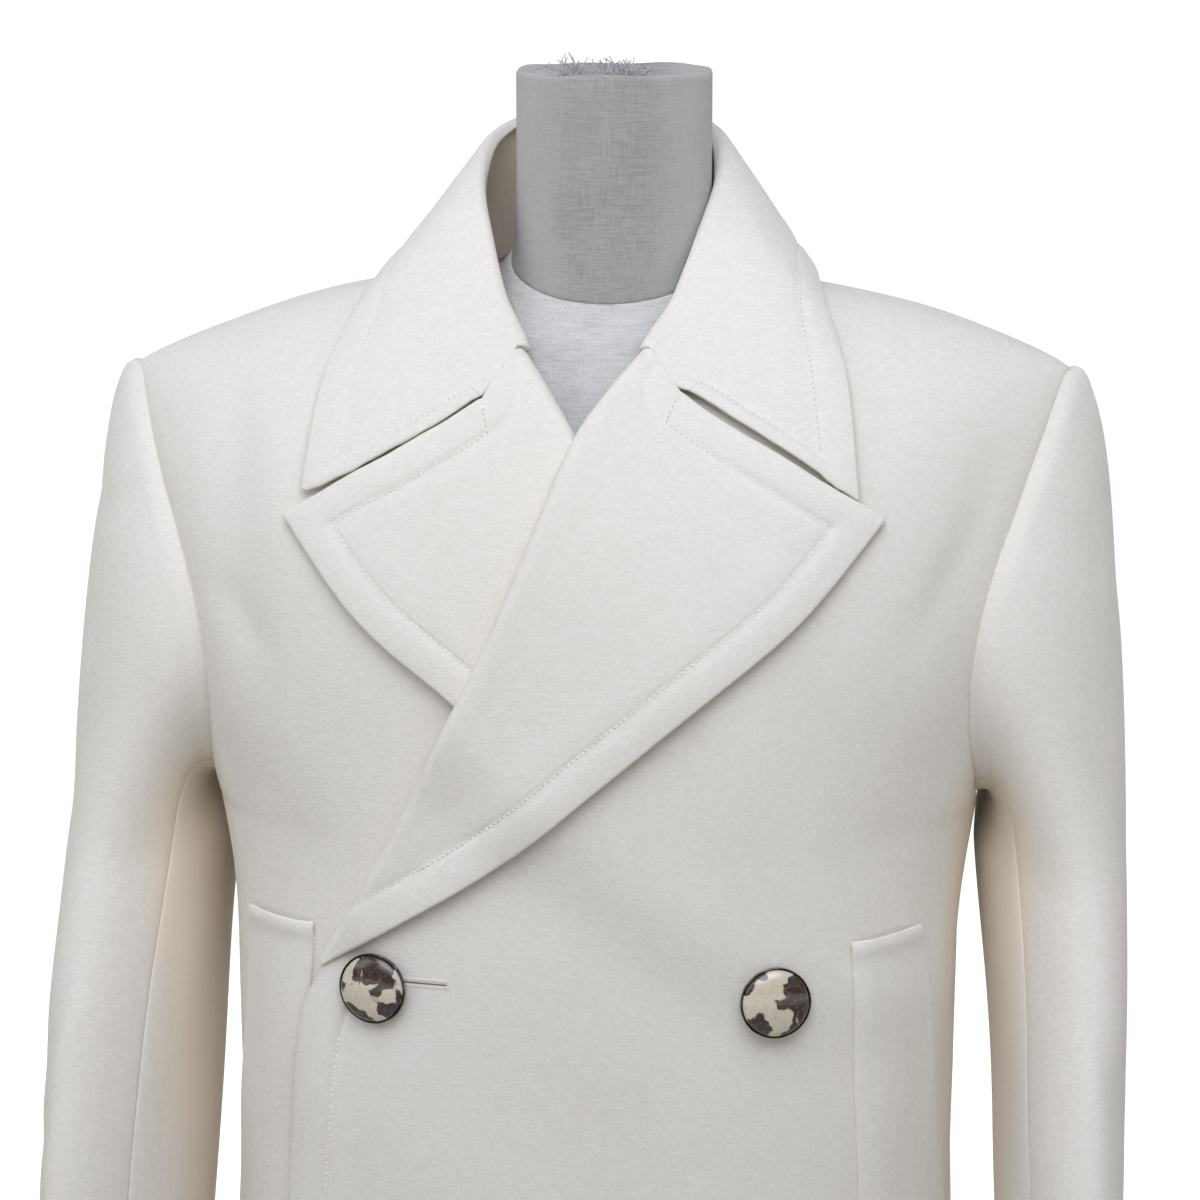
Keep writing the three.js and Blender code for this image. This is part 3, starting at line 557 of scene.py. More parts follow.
# Height of padded strips, stitched troughs and sunk seams, and each edge's distance.
def relief(grid, edges):
    gaps = [distanceTo(grid, densified(edge["line"])) for edge in edges]
    height = np.zeros(grid.shape[:2])
    share = np.full(grid.shape[:2], 9.0)
    for gap, edge in zip(gaps, edges):
        if "inset" in edge:
            share = np.minimum(share, gap / edge["inset"])
        else:
            height = height - edge["sink"] * np.exp(-gap / edge.get("reach", 4.0))
    puff = max([edge.get("puff", 0) for edge in edges])
    height = height + puff * np.sin(math.pi * np.clip(share, 0, 1)) ** 0.7 * (share < 1)
    height = height + 0.4 * puff * np.exp(-((share - 1.5) / 0.33) ** 2)
    for index, edge in enumerate(edges):
        if "inset" not in edge:
            continue
        inside = np.ones_like(height)
        for other, neighbour in enumerate(edges):
            if other != index and "inset" in neighbour:
                inside = inside * smoothstep(gaps[other], neighbour["inset"] - 2, neighbour["inset"])
        dip = np.exp(-((gaps[index] - edge["inset"]) / 1.3) ** 2)
        height = height - edge.get("groove", 0.7) * inside * dip
    return height, gaps


# Points on the cloth at the edge's inset, left out where another stitched strip is crossed.
def stitchLine(grid, gaps, edges, index, axis=1, fromEnd=False):
    turned = (1, 0, 2) if axis == 0 else (0, 1, 2)
    points = grid.transpose(turned)
    fields = [gap.T if axis == 0 else gap for gap in gaps]
    if fromEnd:
        points = points[:, ::-1]
        fields = [field[:, ::-1] for field in fields]
    inset = edges[index]["inset"]
    line = []
    for row in range(len(points)):
        past = np.nonzero(fields[index][row] >= inset)[0]
        if len(past) == 0 or past[0] == 0:
            continue
        here = past[0]
        before, after = fields[index][row][here - 1], fields[index][row][here]
        part = (inset - before) / (after - before)
        clear = True
        for other, neighbour in enumerate(edges):
            if other != index and "inset" in neighbour:
                gap = fields[other][row][here - 1] * (1 - part) + fields[other][row][here] * part
                clear = clear and gap >= neighbour["inset"] - 0.02
        if clear:
            line.append(points[row][here - 1] * (1 - part) + points[row][here] * part)
    return np.array(line)


def linkMesh(name, points, faces, paint):
    mesh = bpy.data.meshes.new(name)
    mesh.from_pydata((np.asarray(points) * mm).tolist(), [], faces)
    mesh.polygons.foreach_set("use_smooth", [True] * len(mesh.polygons))
    mesh.materials.append(paint)
    mesh.update()
    piece = bpy.data.objects.new(name, mesh)
    bpy.context.scene.collection.objects.link(piece)
    return piece


def runs(grid, axis):
    lengths = np.linalg.norm(np.diff(grid, axis=axis), axis=2)
    start = np.zeros_like(np.take(lengths, [0], axis=axis))
    run = np.concatenate([start, np.cumsum(lengths, axis=axis)], axis=axis)
    total = np.take(run, [-1], axis=axis)
    return run, total - run


pullReach = 9.0


# A closed wall of cloth with round edges. The grid is its outer face; seam notches a doubled edge.
# Pulls draw the first and last column and row in, by shares of half the thickness.
def clothShell(name, grid, thickness, mirrored=False, seam=0.0, rimSteps=8, pulls=(1, 1, 1, 1)):
    rows, columns = grid.shape[:2]
    normals = gridNormals(grid, mirrored)
    half = np.broadcast_to(thickness / 2, (rows, columns))[..., None]
    across = unit(np.gradient(grid, axis=1))
    up = unit(np.gradient(grid, axis=0))
    for axis, way in ((1, across), (0, up)):
        fromStart, toEnd = runs(grid, axis)
        startPull, endPull = pulls[2 - 2 * axis:4 - 2 * axis]
        atStart, atEnd = [np.clip(1 - far / pullReach, 0, 1) for far in (fromStart, toEnd)]
        grid = grid + way * half * (startPull * atStart - endPull * atEnd)[..., None]
    middle = grid - normals * half
    outer = (middle + normals * half).reshape(-1, 3)
    inner = (middle - normals * half).reshape(-1, 3)
    loop = [(0, c) for c in range(columns)] + [(r, columns - 1) for r in range(1, rows)]
    loop += [(rows - 1, c) for c in range(columns - 2, -1, -1)] + [(r, 0) for r in range(rows - 2, 0, -1)]
    loopRow = np.array([spot[0] for spot in loop])
    loopColumn = np.array([spot[1] for spot in loop])
    sideways = (loopColumn == columns - 1).astype(float) - (loopColumn == 0)
    upways = (loopRow == rows - 1).astype(float) - (loopRow == 0)
    away = across[loopRow, loopColumn] * sideways[:, None] + up[loopRow, loopColumn] * upways[:, None]
    loopNormal = normals[loopRow, loopColumn]
    away = squareTo(away, loopNormal)
    loopMiddle, loopHalf = middle[loopRow, loopColumn], half[loopRow, loopColumn]
    rings = []
    for step in range(1, rimSteps):
        turn = math.pi * step / rimSteps
        reachOut = math.sin(turn) * (1 - seam * math.exp(-((turn - math.pi / 2) / 0.4) ** 2))
        rings.append(loopMiddle + loopHalf * (loopNormal * math.cos(turn) + away * reachOut))
    points = np.concatenate([outer, inner, *rings])
    count, around = rows * columns, len(loop)
    index = np.arange(count).reshape(rows, columns)
    corners = [index[:-1, :-1], index[:-1, 1:], index[1:, 1:], index[1:, :-1]]
    quads = np.stack(corners, axis=-1).reshape(-1, 4)
    faces = [quads, quads[:, ::-1] + count]
    rim = index[loopRow, loopColumn]
    levels = [rim] + [2 * count + around * step + np.arange(around) for step in range(rimSteps - 1)]
    levels.append(rim + count)
    for first, second in zip(levels[:-1], levels[1:]):
        faces.append(np.stack([np.roll(first, -1), first, second, np.roll(second, -1)], axis=-1))
    faces = np.concatenate(faces)
    if mirrored:
        faces = faces[:, ::-1]
    return linkMesh(name, settled(points), faces.tolist(), woolPaint)


def mirror(grid):
    return grid * np.array([-1, 1, 1])


def surfaceArea(piece):
    return sum(face.area for face in piece.data.polygons) / 2


def register(piece, nodes, flat=None):
    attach(piece, "root")
    if nodes:
        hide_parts(*nodes)
    if flat:
        print(f"{piece.name}: {surfaceArea(piece):.4f} square metres, {len(piece.data.polygons)} faces")


# stitches

stitching = {"length": 2.1, "gap": 0.75, "radius": 0.38, "holeShadeLength": 0.7, "holeShadeRadius": 0.31}


def stitchTree():
    tree = bpy.data.node_groups.new("rowOfStitches", "GeometryNodeTree")
    face = tree.interface
    face.new_socket("Geometry", in_out="INPUT", socket_type="NodeSocketGeometry")
    for name in ("Pitch", "Length", "Radius"):
        face.new_socket(name, in_out="INPUT", socket_type="NodeSocketFloat")
    face.new_socket("Seed", in_out="INPUT", socket_type="NodeSocketInt")
    face.new_socket("Material", in_out="INPUT", socket_type="NodeSocketMaterial")
    face.new_socket("Geometry", in_out="OUTPUT", socket_type="NodeSocketGeometry")

    def add(kind, settings=None, **links):
        node = tree.nodes.new(kind)
        for key, value in (settings or {}).items():
            setattr(node, key, value)
        for key, value in links.items():
            socket = node.inputs[int(key[1:])] if key[0] == "i" and key[1:].isdigit() else node.inputs[key]
            if isinstance(value, bpy.types.NodeSocket):
                tree.links.new(value, socket)
            else:
                socket.default_value = value
        return node

    given = add("NodeGroupInput").outputs
    curve = add("GeometryNodeMeshToCurve", i0=given["Geometry"]).outputs[0]
    even = add("GeometryNodeResampleCurve", {"mode": "LENGTH"}, Curve=curve,
               Length=given["Pitch"]).outputs[0]
    ball = add("GeometryNodeMeshUVSphere", Segments=6, Rings=5, Radius=1.0).outputs[0]
    size = add("ShaderNodeCombineXYZ", X=given["Length"], Y=given["Radius"], Z=given["Radius"]).outputs[0]
    tangent = add("GeometryNodeInputTangent").outputs[0]
    turn = add("FunctionNodeAlignRotationToVector", {"axis": "X"}, Vector=tangent).outputs[0]
    wobble = add("FunctionNodeRandomValue", {"data_type": "FLOAT_VECTOR"}, i0=(-0.05, -0.05, -0.09),
                 i1=(0.05, 0.05, 0.09), Seed=given["Seed"]).outputs[0]
    twisted = add("FunctionNodeRotateRotation", Rotation=turn)
    toRotation = add("FunctionNodeEulerToRotation", Euler=wobble).outputs[0]
    tree.links.new(toRotation, twisted.inputs["Rotate By"])
    placed = add("GeometryNodeInstanceOnPoints", Points=even, Instance=ball, Rotation=twisted.outputs[0],
                 Scale=size).outputs[0]
    real = add("GeometryNodeRealizeInstances", i0=placed).outputs[0]
    smooth = add("GeometryNodeSetShadeSmooth", i0=real).outputs[0]
    painted = add("GeometryNodeSetMaterial", Geometry=smooth, Material=given["Material"]).outputs[0]
    out = tree.nodes.new("NodeGroupOutput")
    tree.links.new(painted, out.inputs[0])
    return tree


stitchNodes = stitchTree()


# One mesh with a row of separate stitches along each line of points.
def sewRow(name, lines, paint, pitch, length, radius, seed):
    points, edges = [], []
    for line in lines:
        first = len(points)
        points += (np.asarray(line) * mm).tolist()
        edges += [(first + step, first + step + 1) for step in range(len(line) - 1)]
    mesh = bpy.data.meshes.new(name)
    mesh.from_pydata(points, edges, [])
    guide = bpy.data.objects.new(name, mesh)
    bpy.context.scene.collection.objects.link(guide)
    modifier = guide.modifiers.new("stitches", "NODES")
    modifier.node_group = stitchNodes
    values = {
        "Pitch": pitch * mm, "Length": length / 2 * mm, "Radius": radius * mm,
        "Seed": seed, "Material": paint,
    }
    for socket in stitchNodes.interface.items_tree:
        if socket.item_type == "SOCKET" and socket.in_out == "INPUT" and socket.name in values:
            modifier[socket.identifier] = values[socket.name]
    bpy.context.view_layer.update()
    depsgraph = bpy.context.evaluated_depsgraph_get()
    made = bpy.data.meshes.new_from_object(guide.evaluated_get(depsgraph))
    guide.modifiers.clear()
    guide.data = made
    bpy.data.meshes.remove(mesh)
    return guide


# Stitches along each line, with a small dark mark between every two, painted shade standing for the shadow
# in each needle hole.
def sew(name, lines, seed):
    lines = [settled(line) for line in lines]
    length, radius, fine = stitching["length"], stitching["radius"], 0.25
    pitch = length + stitching["gap"]
    register(sewRow(f"{name}Thread", lines, threadPaint, pitch, length, radius, seed), [])
    later = [densified(line, fine)[int(pitch / 2 / fine):] for line in lines]
    length, radius = stitching["holeShadeLength"], stitching["holeShadeRadius"]
    register(sewRow(f"{name}Holes", later, holeShadePaint, pitch, length, radius, seed + 20), [])


# Moves points along the cloth's normal until they lie on it.
def laidOn(grid, mirrored, points, rise=0.0):
    normals = gridNormals(grid, mirrored).reshape(-1, 3)
    flat = grid.reshape(-1, 3)
    laid = []
    for point in points:
        nearest = int(np.argmin(np.sum((flat - point) ** 2, axis=1)))
        normal = normals[nearest]
        laid.append(point + normal * (np.dot(flat[nearest] - point, normal) + rise))
    return np.array(laid)


# The row's end near the notch, cut off and led straight into the notch.
def turnedIn(grid, mirrored, line, notch, inset):
    if np.linalg.norm(line[0] - notch) > np.linalg.norm(line[-1] - notch):
        line = line[::-1]
    line = line[np.linalg.norm(line - notch, axis=1) > inset * 1.04]
    shares = np.linspace(0.14, 1, 9)[:-1]
    bridge = notch + (line[0] - notch) * shares[:, None]
    return np.concatenate([laidOn(grid, mirrored, bridge), line])


# fronts

# distances from an edge at which columns of a grid lie
stitchedSteps = np.array([0, 1.2, 3, 6, 9.5, 13, 16.5, 19, 20.6, 21.4, 22, 22.6, 23.4, 25, 28, 33], float)
seamSteps = np.array([0, 1.5, 3.5, 6, 9, 13], float)

fronts = {
    "edgeInset": 22, "pullIn": 7.5, "middle": 46, "lowRows": 46, "waistRows": 50, "chestRows": 56,
    "stripTop": 1078, "stitchTop": 1054, "besideEdge": (104, 121), "lapelRise": (985, 1075),
    "foldsRight": table("start end width depth",
        ((-172, 1362), (-160, 1222), 15, -2.6), ((-176, 1262), (-150, 1226), 9, -1.6),
        ((-205, 1318), (-186, 1344), 7, -0.9), ((-146, 1350), (-136, 1262), 16, 1.2),
        ((-168, 1180), (-120, 1120), 20, -1.4), ((-30, 1040), (-52, 700), 34, -2.4),
        ((-98, 900), (-120, 330), 38, 4.5), ((-165, 880), (-190, 320), 26, -4.5),
    ),
    "foldsLeft": table("start end width depth",
        ((201, 1340), (172, 1236), 14, -2.4), ((182, 1290), (158, 1236), 8, -1.3),
        ((150, 1345), (150, 1262), 15, 1.1), ((176, 1190), (140, 1126), 18, -1.3),
        ((38, 1075), (30, 760), 30, -2.2), ((-60, 900), (-78, 330), 34, 3.5),
        ((70, 860), (84, 320), 40, 4.8), ((160, 870), (186, 320), 28, -4.2),
    ),
}
gorge = {"x": 33, "z": 1370.5}
seamTop = {"x": 29.5, "z": 1371.6}
lapel = {
    "footZ": 1095, "breakZ": 1083, "peak": (141, 1294), "edgeCurve": 0.97, "topPull": 5,
    "outerInset": 18.5, "topInset": 16.5, "puffLeft": 2.2, "puffRight": 1.2, "curl": 2.2,
    "corner": 11, "gorgeShare": 1 / 6, "footHeight": 3.4,
    "topLeft": table("x z",
        (45.5, 1353.2), (55.1, 1347.2), (66.5, 1340.6), (77.7, 1334.5), (92.9, 1326.5),
        (110.8, 1315.7), (129.9, 1304.9), (142, 1297.6),
    ),
    "topRight": table("x z",
        (44.7, 1348.8), (53, 1344.1), (61.9, 1338.7), (74.1, 1332.4), (89.1, 1323.5), (104.5, 1315.8),
        (116.2, 1308.6), (129.6, 1300.7), (138.5, 1295.2),
    ),
    "edge": table("x z",
        (-117.5, 1080.6), (-110, 1086), (-80, 1105.8), (-33, 1138), (13.5, 1177.5), (59, 1216),
        (103, 1250.5), (141, 1294),
    ),
}
pocket = {
    "topZ": 1100, "footZ": 925, "innerX": 125.5, "innerLean": 0.06, "outerX": 159.5, "outerLean": 0.085,
    "weltWidth": 38, "sewnDepth": 2.6, "topRoll": 1.5, "bulge": 0.9,
}


# How far the left front stands off the coat, over the right front's layers.
def overlap(x, z):
    rightEdge = -along(frontEdge, "z", z, "x")
    fade = coat["overlapFade"]
    overFront = 1 - smoothstep(x, rightEdge + 2, rightEdge + 2 + fade)
    lapelFoot = along(lapel["edge"][1:], "x", -np.asarray(x, float), "z")
    insideLapel = smoothstep(z, lapelFoot - 3 - fade, lapelFoot - 3)
    besideEdge = smoothstep(-x, *fronts["besideEdge"])
    low = smoothstep(z, pocket["footZ"] - 100, pocket["footZ"] - 30)
    besidePocket = low * (1 - smoothstep(z, pocket["topZ"] + 5, pocket["topZ"] + 30))
    layer = coat["wall"] + coat["layerGap"]
    lapelLayer = overFront * insideLapel * smoothstep(z, *fronts["lapelRise"])
    folded = coat["lapelWall"] + coat["lapelGap"]
    return layer * (overFront + besideEdge * besidePocket) + lapelLayer * folded


# The height of a level, which counts millimetres under the arm and shares of the way up above it.
def levelZ(level):
    return coat["underarmZ"] + np.where(level < 0, level, level * (coat["neckPointZ"] - coat["underarmZ"]))


def frontEdgeX(level):
    rise = np.clip((level - coat["gorgeLevel"]) / (1 - coat["gorgeLevel"]), 0, 1)
    neck = gorge["x"] + (coat["neckPointX"] - gorge["x"]) * rise ** 0.95
    return np.where(level > coat["gorgeLevel"], neck, along(frontEdge, "z", levelZ(level), "x"))


# Steps from 0 to total, close together as given at both ends and even between.
def spaced(total, startSteps, endSteps, count):
    room = startSteps[-1] + endSteps[-1]
    scale = min(1, 0.75 * total / room)
    start = startSteps * scale
    end = total - endSteps[::-1] * scale
    middle = np.linspace(start[-1], end[0], count + 1)
    return np.concatenate([start, middle[1:-1], end])


# The angles round the body at which each row's columns lie, a skip in from the row's start.
def rowAngles(levels, starts, ends, startSteps, endSteps, count, skips):
    rows = []
    for level, start, end, skip in zip(levels, starts, ends, skips):
        tries = np.linspace(start, end, 400)
        run = runAlong(bodyPoint(tries, level))
        wanted = skip + spaced(run[-1] - skip, startSteps, endSteps, count)
        rows.append(np.interp(wanted, run, tries))
    return np.array(rows)


def frontLevels():
    hem = coat["underarmZ"] - np.concatenate([
        coat["hemZ"] + np.array([0, 1.5, 4, 8]), np.linspace(coat["hemZ"] + 14, 930, fronts["lowRows"]),
    ])
    waist = np.linspace(930, coat["underarmZ"], fronts["waistRows"])[1:] - coat["underarmZ"]
    chest = np.linspace(0, 0.97, fronts["chestRows"])[1:]
    return np.concatenate([-hem, waist, chest, [0.98, 0.988, 0.995, 1]])


ripples = np.random.default_rng(11)
waves = [
    (ripples.normal(size=3) * 2 * math.pi / size, ripples.uniform(0, 6), height)
    for size, height in ((210, 0.5), (150, 0.4), (96, 0.26), (70, 0.2), (44, 0.12), (33, 0.09))
]


def ripple(points):
    return sum(height * np.sin(points @ way / 1.7 + phase) for way, phase, height in waves)


def pushed(grid, height, mirrored):
    return grid + gridNormals(grid, mirrored) * height[..., None]


def makeFront(side):
    isLeft = side == "left"
    levels = frontLevels()
    starts = angleAt(frontEdgeX(levels), levels)
    ends = armholeAngle(levels, False) - coat["seamTrim"]
    rise = levelZ(levels)
    pullIn = fronts["pullIn"] * smoothstep(rise, 1083, 1104)
    angles = rowAngles(levels, starts, ends, stitchedSteps, seamSteps, fronts["middle"], pullIn)
    levelGrid = np.broadcast_to(levels[:, None], angles.shape)
    base = bodyPoint(angles, levelGrid)
    standOff = overlap(base[..., 0], base[..., 2]) if isLeft else 0
    grid = skin(angles, levelGrid, standOff)
    grid[-1, :, 1] -= coat["shoulderGap"]
    if not isLeft:
        grid = mirror(grid)
    low = np.nonzero(rise < fronts["stripTop"])[0]
    sideRows = np.nonzero(levels <= 0)[0]
    edges = [
        {"line": grid[low, 0], "inset": fronts["edgeInset"], "puff": 1.5, "groove": 0.9},
        {"line": grid[sideRows, -1], "sink": 0.8},
        {"line": grid[sideRows[-1]:, -1], "sink": 1.2, "reach": 5},
        {"line": grid[-1], "sink": 0.6},
    ]
    height, gaps = relief(grid, edges)
    folds = fronts["foldsLeft" if isLeft else "foldsRight"]
    fade = smoothstep(gaps[1], *coat["foldFade"])
    height = height + creases(grid[..., 0], grid[..., 2], folds) * fade + ripple(grid)
    grid = pushed(grid, height, not isLeft)
    name, pulls = f"frontPanel_{side}", (1, 0.5, 1, 0.5)
    piece = clothShell(name, grid, coat["wall"], not isLeft, seam=0.35, pulls=pulls)
    line = stitchLine(grid, gaps, edges, 0)
    return piece, line[line[:, 2] < fronts["stitchTop"]], grid


# lapels


# A spot a share of the way along a line of x and z.
def lineAt(line, part):
    x = np.array([spot["x"] for spot in line], float)
    z = np.array([spot["z"] for spot in line], float)
    gaps = np.hypot(np.diff(x), np.diff(z))
    run = np.concatenate([[0], np.cumsum(gaps)]) / gaps.sum()
    return np.interp(part, run, x), np.interp(part, run, z)


# Rows from the break up to the gorge; each row runs from the roll line to the free edge.
def lapelFrame(side):
    top = gorge["z"] - lapel["breakZ"]
    endSteps = np.array([0, 1, 2.2, 4, 6, 8, 9.4, 10.2, 11, 12, 14, 17, 20, 24], float)
    reach = spaced(top, np.array([0, 0.8, 2, 4, 7, 11], float), endSteps, 72)
    rollZ = lapel["breakZ"] + reach
    rollX = along(frontEdge, "z", rollZ, "x")
    up = np.clip((rollZ - lapel["footZ"]) / (gorge["z"] - lapel["footZ"]), 0, 1)
    peakX, peakZ = lapel["peak"]
    below = np.clip((rollZ - lapel["footZ"]) / (lapel["footZ"] - lapel["breakZ"]), -1, 0)
    edgeX = -110 + (peakX + 110) * up ** lapel["edgeCurve"] + below * 7.5
    edgeZ = along(lapel["edge"], "x", edgeX, "z")
    width = np.hypot(edgeX - rollX, edgeZ - rollZ)
    gorgeShare = lapel["gorgeShare"]
    outerSteps = np.array([0, 1.2, 2.8, 5, 8, 11.5, 15, 18, 19.6, 20.4, 21, 21.6, 22.4, 24, 27, 32], float)
    shares = []
    for wide, thick in zip(width, lapelHeight(rollZ, 0, side)):
        start = min(0.85 * (thick + coat["wall"]) / 2, 0.3 * wide)
        corner = max(wide * gorgeShare, start + 0.14 * wide)
        near = np.linspace(start, corner, lapel["corner"] + 1)[:-1]
        far = corner + spaced(wide - corner, np.array([0, 1.5, 4], float), outerSteps, 20)
        shares.append(np.concatenate([near, far]) / wide)
    shares = np.array(shares)

    def blend(first, second, part):
        return first + (second - first) * part

    x = blend(rollX[:, None], edgeX[:, None], shares)
    z = blend(rollZ[:, None], edgeZ[:, None], shares)
    top = lapel["topLeft" if side == "left" else "topRight"]
    inside = np.clip(shares / gorgeShare, 0, 1)
    outside = np.clip((shares - gorgeShare) / (1 - gorgeShare), 0, 1)
    topX, topZ = lineAt(top, outside)
    bentX = np.where(shares <= gorgeShare, blend(seamTop["x"], top[0]["x"], inside), topX)
    bentZ = np.where(shares <= gorgeShare, blend(seamTop["z"], top[0]["z"], inside) + 0.4, topZ)
    pull = up[:, None] ** lapel["topPull"]
    x = x + (bentX - blend(gorge["x"], peakX, shares)) * pull
    z = z + (bentZ - blend(gorge["z"], peakZ, shares)) * pull
    return x, z, shares * width[:, None], rollZ


# How far the lapel's face stands above the front; it rises from the break and swells at the roll.
def lapelHeight(rollZ, fromRoll, side):
    puff = lapel["puffLeft"] if side == "left" else lapel["puffRight"] * smoothstep(rollZ, 1338, 1356)
    full = coat["lapelGap"] + coat["lapelWall"] + puff * np.exp(-(fromRoll / 15) ** 2)
    low = lapel["footHeight"]
    return low + (full - low) * smoothstep(rollZ, lapel["breakZ"], 1116)


def makeLapel(side):
    isLeft = side == "left"
    x, z, fromRoll, rollZ = lapelFrame(side)
    height = lapelHeight(rollZ[:, None], fromRoll, side)
    corner = lapel["corner"]
    beside = np.exp(-np.maximum(0, np.arange(x.shape[1]) - corner - 2) / 3)
    gorgeRise = np.linspace(1.0, 2.1, x.shape[1])[None, :] * beside[None, :]
    height = height + gorgeRise * np.exp(-((rollZ[-1] - rollZ[:, None]) / 13) ** 2)
    across = fromRoll / fromRoll[:, -1:]
    curl = smoothstep(rollZ, 1095, 1150) * (1 - 0.75 * smoothstep(rollZ, 1300, 1371))
    height = height + lapel["curl"] * smoothstep(across, 0.4, 1) * curl[:, None]
    ground = overlap(x, z) if isLeft else np.zeros_like(x)
    base = frontSkin(x, z, ground)
    surface = frontSkin(x, z, ground + height)
    normal = unit(surface - base)
    start = base[:, 0]
    run = unit(np.gradient(start, axis=0))
    face = squareTo(normal[:, 0], run)
    away = np.cross(face, run)
    radius = (height[:, :1] + coat["wall"]) / 2
    centre = start + face * (height[:, :1] - coat["wall"]) / 2
    tail = centre - face * radius
    wrap = [tail - away * step for step in (1.4, 0.7)]
    for turn in np.linspace(math.pi, 0.2, 12):
        wrap.append(centre + radius * (face * math.cos(turn) + away * math.sin(turn)))
    grid = np.concatenate([np.stack(wrap, axis=1), surface], axis=1)
    if not isLeft:
        grid = mirror(grid)
    gorgeSpot = len(wrap) + corner
    edges = [
        {"line": grid[:, -1], "inset": lapel["outerInset"], "puff": 0.95, "groove": 0.75},
        {"line": grid[-1, gorgeSpot:], "inset": lapel["topInset"], "puff": 0.95, "groove": 0.75},
        {"line": grid[-1, :gorgeSpot + 1], "sink": 0.35, "reach": 2.5},
    ]
    lift, gaps = relief(grid, edges)
    grid = pushed(grid, lift * smoothstep(rollZ, 1083, 1100)[:, None] + ripple(grid), not isLeft)
    name, pulls = f"lapelFold_{side}", (1, 1, 1, 0.45)
    piece = clothShell(name, grid, coat["lapelWall"], not isLeft, seam=0.4, pulls=pulls)
    outer = stitchLine(grid, gaps, edges, 0, 1, True)
    top = stitchLine(grid, gaps, edges, 1, 0, True)
    top = turnedIn(grid, not isLeft, top, grid[-1, gorgeSpot], lapel["topInset"])
    return piece, [outer, top]


# collar

collarStations = table("neckX neckLevel rollX rollY rollZ edgeX edgeLevel",
    (33, 0.875, 33, -83, 1376.5, 130.5, 0.661), (42, 0.905, 40, -64, 1392, 127.6, 0.752),
    (52, 0.935, 47, -48, 1411, 124.3, 0.83), (63, 0.965, 53, -30, 1429, 119.5, 0.9),
    (72, 0.99, 58.5, -10, 1443, 112, 0.955), (78, 1.0, 61, 8, 1453, 107, 1.0),
    (74, 1.0095, 61, 25, 1461, 102, 1.026), (64, 1.0296, 55, 43, 1467, 94, 1.045),
    (48, 1.0528, 43, 55, 1471, 74, 1.064), (25, 1.07, 24, 63, 1473, 38, 1.143),
    (0, 1.0737, 0, 66, 1474, 0, 1.207),
)
for index, station in enumerate(collarStations):
    station["at"] = index
centreBack = len(collarStations) - 1
collar = {
    "end": 0.09, "drop": 1.5, "notchShare": 0.17, "notchBendX": -2, "notchBendLevel": -0.019,
    "rollRadius": 3.9, "frontSwell": 1.1, "outerInset": 17, "frontInset": 7.5,
    "standStart": 1.25, "standFootGap": 3.2, "standTopGap": 0.9,
}
collarFront = {
    "left": table("x z",
        (45.5, 1353.2), (51.5, 1351.7), (62.9, 1346.1), (72.8, 1340.1), (82.1, 1335.2), (94.9, 1327.9),
        (110.4, 1318.3), (118.7, 1311.8), (129.5, 1305.5),
    ),
    "right": table("x z",
        (44.7, 1348.8), (51.4, 1345.7), (58.8, 1340.5), (69.3, 1334.5), (81.3, 1328.1), (92.7, 1322.4),
        (104.1, 1316), (112.1, 1312.7), (119.7, 1308.7), (126.1, 1306.6), (129.6, 1307),
    ),
}


# Places count round the neck, from the wearer's left front over centre back to the right front.
def toStation(place):
    return np.minimum(place, 2 * centreBack - place)


# How far the collar's front edge moves, in x and level, to lie along the lapel.
def frontShift(side, share):
    notchShare = collar["notchShare"]
    line = collarFront[side]
    farX, farZ = lineAt(line, np.clip((share - notchShare) / (1 - notchShare), 0, 1))
    part = np.clip(share / notchShare, 0, 1)
    nearX = seamTop["x"] + (line[0]["x"] - seamTop["x"]) * part
    nearZ = seamTop["z"] + (line[0]["z"] - seamTop["z"]) * part
    x = np.where(share < notchShare, nearX, farX)
    level = levelAt(x, np.where(share < notchShare, nearZ, farZ))
    place = np.full_like(share, collar["end"])
    plainX, plainLevel = collarSpot(place, share)
    return x - plainX, level - plainLevel


def stationValue(station, key):
    return along(collarStations, "at", station, key)


def rollPoint(station):
    return xyz(*[stationValue(station, key) for key in ("rollX", "rollY", "rollZ")])


def collarSpot(station, share):
    x = stationValue(station, "neckX") * (1 - share) + stationValue(station, "edgeX") * share
    level = stationValue(station, "neckLevel") * (1 - share) + stationValue(station, "edgeLevel") * share
    notchShare = collar["notchShare"]
    besideNotch = np.minimum(share / notchShare, (1 - share) / (1 - notchShare))
    near = np.clip(1 - station / 2, 0, 1) ** 3 * besideNotch
    return x + near * collar["notchBendX"], level + near * collar["notchBendLevel"]


def collarGround(x, level, out):
    isBack = level > 1
    climb = np.where(isBack, 2 - level, level)
    return skin(angleAt(x, climb, isBack), climb, out)


# The collar's face, evened out where it goes over the shoulder seam.
def fallPoint(place, share):
    place = np.asarray(place, float)
    spread = smoothstep(toStation(place), 1.2, 3.2)
    steps = ((-1, 1), (-0.66, 2), (-0.33, 3), (0, 3), (0.33, 3), (0.66, 2), (1, 1))
    return sum(fallSpot(place + spread * step, share) * weight for step, weight in steps) / 15


